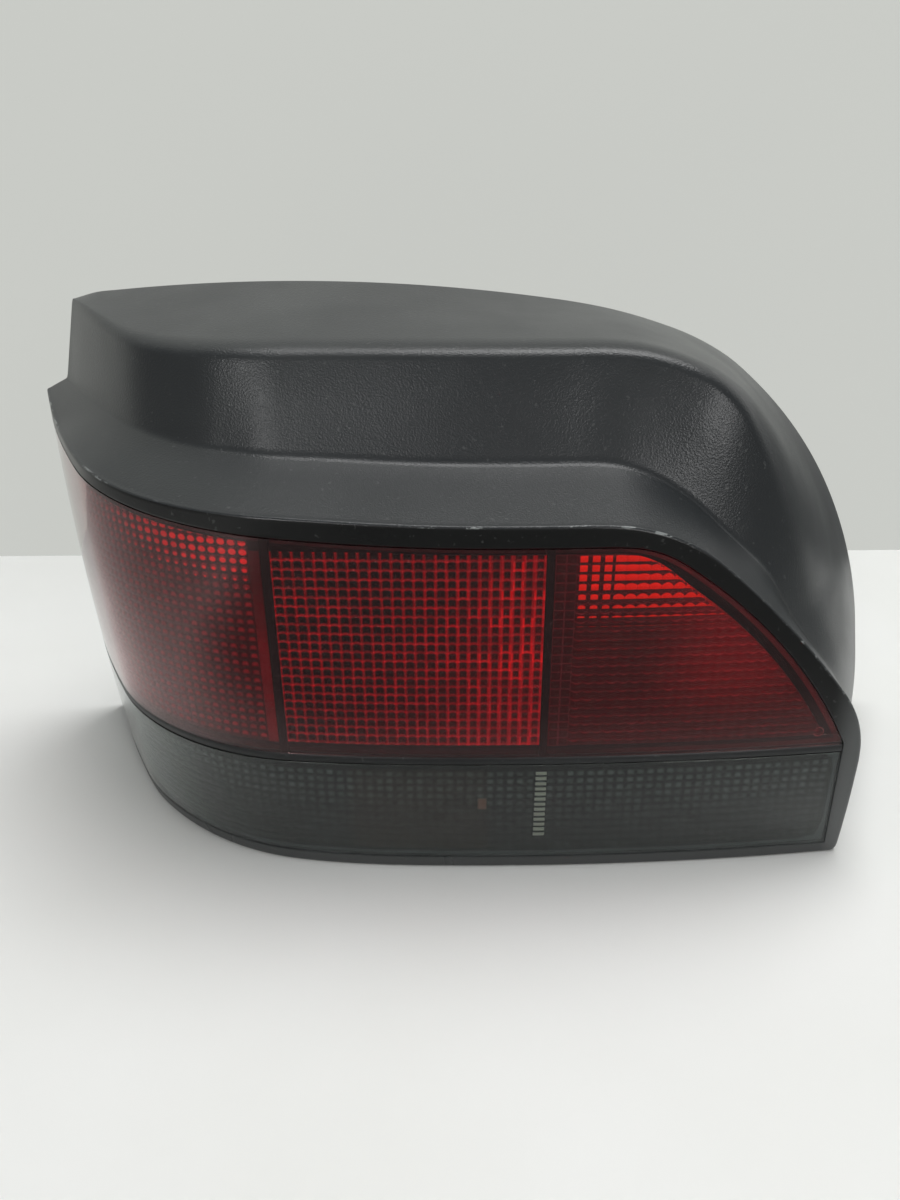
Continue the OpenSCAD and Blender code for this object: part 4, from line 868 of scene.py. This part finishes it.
platesPiece("partitionRungs", [(ladder["x"][0] + 0.02 * k, ladder["x"][1] - 0.25, z, z + ladder["thick"])
                               for k, z in enumerate(rungFoot)],
            ladder["colour"], ladder["dusty"], "black_plastic")
glimpse = dict(plate=(10.3, 13.5, 28.0, 32.8, 1.1), colour=(100, 58, 32), dusty=(82, 48, 28))
platesPiece("amberGlimpse", [glimpse["plate"]], glimpse["colour"], glimpse["dusty"], "amber")
print("smoked optics done:", len(smokeCells.data.polygons), "faces")


# Strip between the lenses, with its web back to the panel
stripLook = dict(colour=(24, 25, 26), dusty=(36, 38, 39), rough=0.38, grain=1500.0, grainDeep=0.00003)
stripWeb = dict(inset=3.1, depth=2.5, rightInset=3.9)
# Height above its foot, and depth, of each point round the strip
stripProfile = [(3.5, 2.4), (3.5, 0.75), (3.32, 0.3), (2.9, 0.06), (2.4, 0.0), (1.2, 0.0), (0.55, 0.08),
                (0.16, 0.34), (0.0, 0.8), (0.0, 2.4)]
def stripRing(i):
    u, inset, rightEdge = uBase(i), -stripWeb["inset"], skin["lensX"] - stripWeb["rightInset"]
    def web(z):
        if i == baseSteps:
            return [onFront(rightEdge, z, stripWeb["depth"]), Vector((rightEdge, panelY, z))]
        return [onSkin(lensU(u, z, inset), z, stripWeb["depth"]), onBack(u, z) if i else backLeft(inset, z)]
    z0 = skin["stripZ"]
    return [lowEdge(i, z0 + h, d) for h, d in stripProfile] + web(z0) + web(z0 + skin["stripH"])[::-1]
rings = [stripRing(i) for i in halfSteps]
n = len(rings[0])
ends = [tuple(range(n)), tuple(range(len(rings) * n - 1, (len(rings) - 1) * n - 1, -1))]
stripPlastic = grainedPlastic("stripPlastic", **stripLook)
makePiece("lensStrip", flat(rings), bandFaces(len(rings), n, False) + ends, [stripPlastic],
          None, 35, None, "black_plastic", ["lens_divider"], True)
print("strip done")


# Finishes for the nodes that keep their own shape
def plainFinish(name, colour, second, rough, metal=0.0, scale=40.0, bumpScale=500.0, bumpDeep=0.00003):
    f = Finish(name)
    f.set(colour=f.blend(f.fade(f.noise(scale, 4), 0.3, 0.7), colour, second), metal=metal,
          rough=f.fade(f.noise(scale * 3, 3), 0.3, 0.7, max(rough - 0.07, 0.03), rough + 0.08))
    f.bump(f.noise(bumpScale, 3), bumpDeep)
    return f
nodeLook = {  # finish: how it is made, its two tones, its roughness, and its grain or its metal and scales
    "panelBlack": (grainedPlastic, (44, 46, 47), (56, 58, 58), 0.5, 900.0, 0.00005),
    "carrierGrey": (grainedPlastic, (150, 150, 142), (138, 138, 130), 0.46, 1100.0, 0.00003),
    "mirrorCoat": (plainFinish, (196, 198, 198), (182, 184, 184), 0.14, 1.0, 30, 300, 0.00001),
    "brassStrip": (plainFinish, (196, 160, 92), (170, 132, 70), 0.34, 1.0, 60, 700, 0.00001),
    "tinSteel": (plainFinish, (186, 186, 182), (160, 160, 156), 0.32, 1.0, 80, 800, 0.00001),
    "studSteel": (plainFinish, (190, 184, 160), (158, 152, 130), 0.36, 1.0, 90, 900, 0.00001),
    "capMetal": (plainFinish, (178, 170, 140), (150, 142, 116), 0.3, 1.0, 60, 700, 0.00001),
    "sealFoam": (grainedPlastic, (40, 40, 40), (52, 52, 52), 0.85, 1600.0, 0.00012),
    "sealRubber": (plainFinish, (26, 26, 27), (36, 36, 37), 0.62),
    "beadBlack": (plainFinish, (18, 18, 18), (26, 26, 26), 0.5),
    "trayBlack": (grainedPlastic, (24, 22, 22), (32, 30, 30), 0.5, 1200.0, 0.00003),
    "plateRed": (plainFinish, (150, 12, 22), (120, 8, 16), 0.2),
    "amberSheet": (plainFinish, (226, 116, 20), (206, 96, 12), 0.22)}
made = {name: spec[0](name, *spec[1:]) for name, spec in nodeLook.items()}
bulbGlass = Finish("bulbGlass")
bulbGlass.set(colour=(250, 250, 248), rough=bulbGlass.fade(bulbGlass.noise(80, 2), 0.3, 0.7, 0.02, 0.05),
              clear=1.0, ior=1.45)
bulbGlass.passLamps((255, 255, 255))
dressing = dict(lens_seal="beadBlack", back_panel="panelBlack", partitions="trayBlack",
                reflex_plate="plateRed", reflex_tray="trayBlack", amber_filter="amberSheet",
                bulb_carrier="carrierGrey", carrier_gasket="sealFoam", earth_strip="brassStrip",
                supply_tracks="brassStrip", connector_pins="tinSteel", mounting_studs="studSteel",
                tower_seals="sealFoam", breather_cap="sealRubber")
dressing = {node: made[name] for node, name in dressing.items()}
dressing.update(housing=hoodPlastic, red_lens=redSkinFinish, smoked_lens=smokeSkinFinish,
                lens_divider=stripPlastic)
for bulb in ("tail", "fog", "turn", "reverse"):
    for part, finish in (("_reflector", made["mirrorCoat"]), ("_bulb_glass", bulbGlass),
                         ("_bulb_cap", made["capMetal"])):
        dressing[bulb + part] = finish
for name, finish in dressing.items():
    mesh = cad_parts[name].data
    mesh.materials.clear()
    mesh.materials.append(finish.mat)
print("nodes dressed")


# Floor, backdrop and soft lights
stageSet = dict(floor=((232, 233, 230), (236, 237, 235)), wall=((206, 208, 203), (196, 198, 196)),
                wallY=0.262, half=2.5, wallHigh=2.0, shade=(104, 105, 104), frontShade=(-0.05, -0.20),
                rightShade=(0.4, 0.6), wallLow=(90, 92, 92), wallBright=(255, 255, 252))
def flatStage(name, corners, finish):
    mesh = bpy.data.meshes.new(name)
    mesh.from_pydata(corners, [], [(0, 1, 2, 3)])
    mesh.materials.append(finish.mat)
    item = addObject(name, mesh)
    return item
def floorPaint():  # mirrored rays see a grey shade round the lamp, and far away the camera sees an even tone
    f = Finish("floorPaint")
    x, y, z = f.parts(f.place)
    front = f.times(f.fade(y, *stageSet["frontShade"]), f.fade(x, -0.36, -0.2))
    sides = f.most(f.fade(x, *stageSet["rightShade"], 0.0, 0.8), f.fade(x, -0.17, -0.45, 0.0, 0.6))
    pale = f.blend(f.fade(f.noise(5, 3), 0.3, 0.7), *stageSet["floor"])
    far = f.add("ShaderNodeVectorMath", operation="LENGTH")
    f.join(f.place, far.inputs[0])
    f.set(colour=f.blend(f.times(f.most(front, sides), f.rays("Is Glossy Ray")), pale, stageSet["shade"]),
          rough=0.7, gloss=0.3, glowColour=stageSet["floor"][0],
          glow=f.times(f.fade(far.outputs["Value"], 0.6, 2.2, 0.0, 0.62), f.rays("Is Camera Ray")))
    return f
def wallPaint():  # an even tone for the camera; mirrored rays see its right part dim below and bright above
    f = Finish("wallPaint")
    f.set(colour=f.blend(f.fade(f.noise(3, 3), 0.3, 0.7), *stageSet["wall"]), rough=0.8, gloss=0.2)
    x, y, z = f.parts(f.place)
    seen = f.most(f.rays("Is Camera Ray"), f.rays("Is Glossy Ray"), f.rays("Is Transmission Ray"))
    mirrored = f.blend(f.fade(z, 0.16, 0.3), stageSet["wallLow"], stageSet["wallBright"])
    paper = f.add("ShaderNodeEmission")
    right = f.times(f.fade(x, 0.2, 0.4), f.rays("Is Glossy Ray"))
    f.join(f.blend(right, stageSet["wall"][0], mirrored), paper.inputs["Color"])
    even = f.either(f.times(seen, 0.85), f.shader.outputs[0], paper.outputs[0])
    clear = f.add("ShaderNodeBsdfTransparent").outputs[0]  # from behind the wall isn't there
    f.join(f.either(f.add("ShaderNodeNewGeometry").outputs["Backfacing"], even, clear), f.out)
    return f
w, y, top = stageSet["half"], stageSet["wallY"], stageSet["wallHigh"]
flatStage("floor", [(-w, -w, 0), (w, -w, 0), (w, w, 0), (-w, w, 0)], floorPaint())
backdrop = flatStage("backdrop", [(-w, y, 0), (w, y, 0), (w, y, top), (-w, y, top)], wallPaint())
backdrop.visible_shadow = False  # the top light stands near it

skyLight = 0.24
lightSet = dict(top=dict(at=(0.2, 0.2, 1.6), size=1.0, watts=20.0, aim=(0, -0.05, 0.05)),
                left=dict(at=(-0.51, -1.27, 0.68), size=0.24, watts=3.0, aim=(0, 0, 0.15)),
                right=dict(at=(0.64, -1.28, 0.52), size=0.3, watts=3.0, aim=(0, 0, 0.15)))
for name, spec in lightSet.items():
    data = bpy.data.lights.new(name + "Softbox", "AREA")
    data.energy, data.size = spec["watts"], spec["size"]
    lamp = addObject(name + "Softbox", data)
    lamp.location = spec["at"]
    lamp.rotation_euler = (Vector(spec["aim"]) - lamp.location).to_track_quat("-Z", "Y").to_euler()
world = bpy.data.worlds.new("studio")
world.use_nodes = True
nodes, links = world.node_tree.nodes, world.node_tree.links
ambient = nodes["Background"]
pale, pick, rays = [nodes.new("ShaderNode" + kind) for kind in ("Background", "MixShader", "LightPath")]
ambient.inputs[0].default_value, ambient.inputs[1].default_value = (1, 1, 1, 1), skyLight
pale.inputs[0].default_value = tone(*stageSet["wall"][0])  # what the camera sees past the stage
for source, socket in ((rays.outputs["Is Camera Ray"], pick.inputs[0]), (ambient.outputs[0], pick.inputs[1]),
                       (pale.outputs[0], pick.inputs[2]), (pick.outputs[0], nodes["World Output"].inputs[0])):
    links.new(source, socket)
bpy.context.scene.world = world
print("stage and lights done")
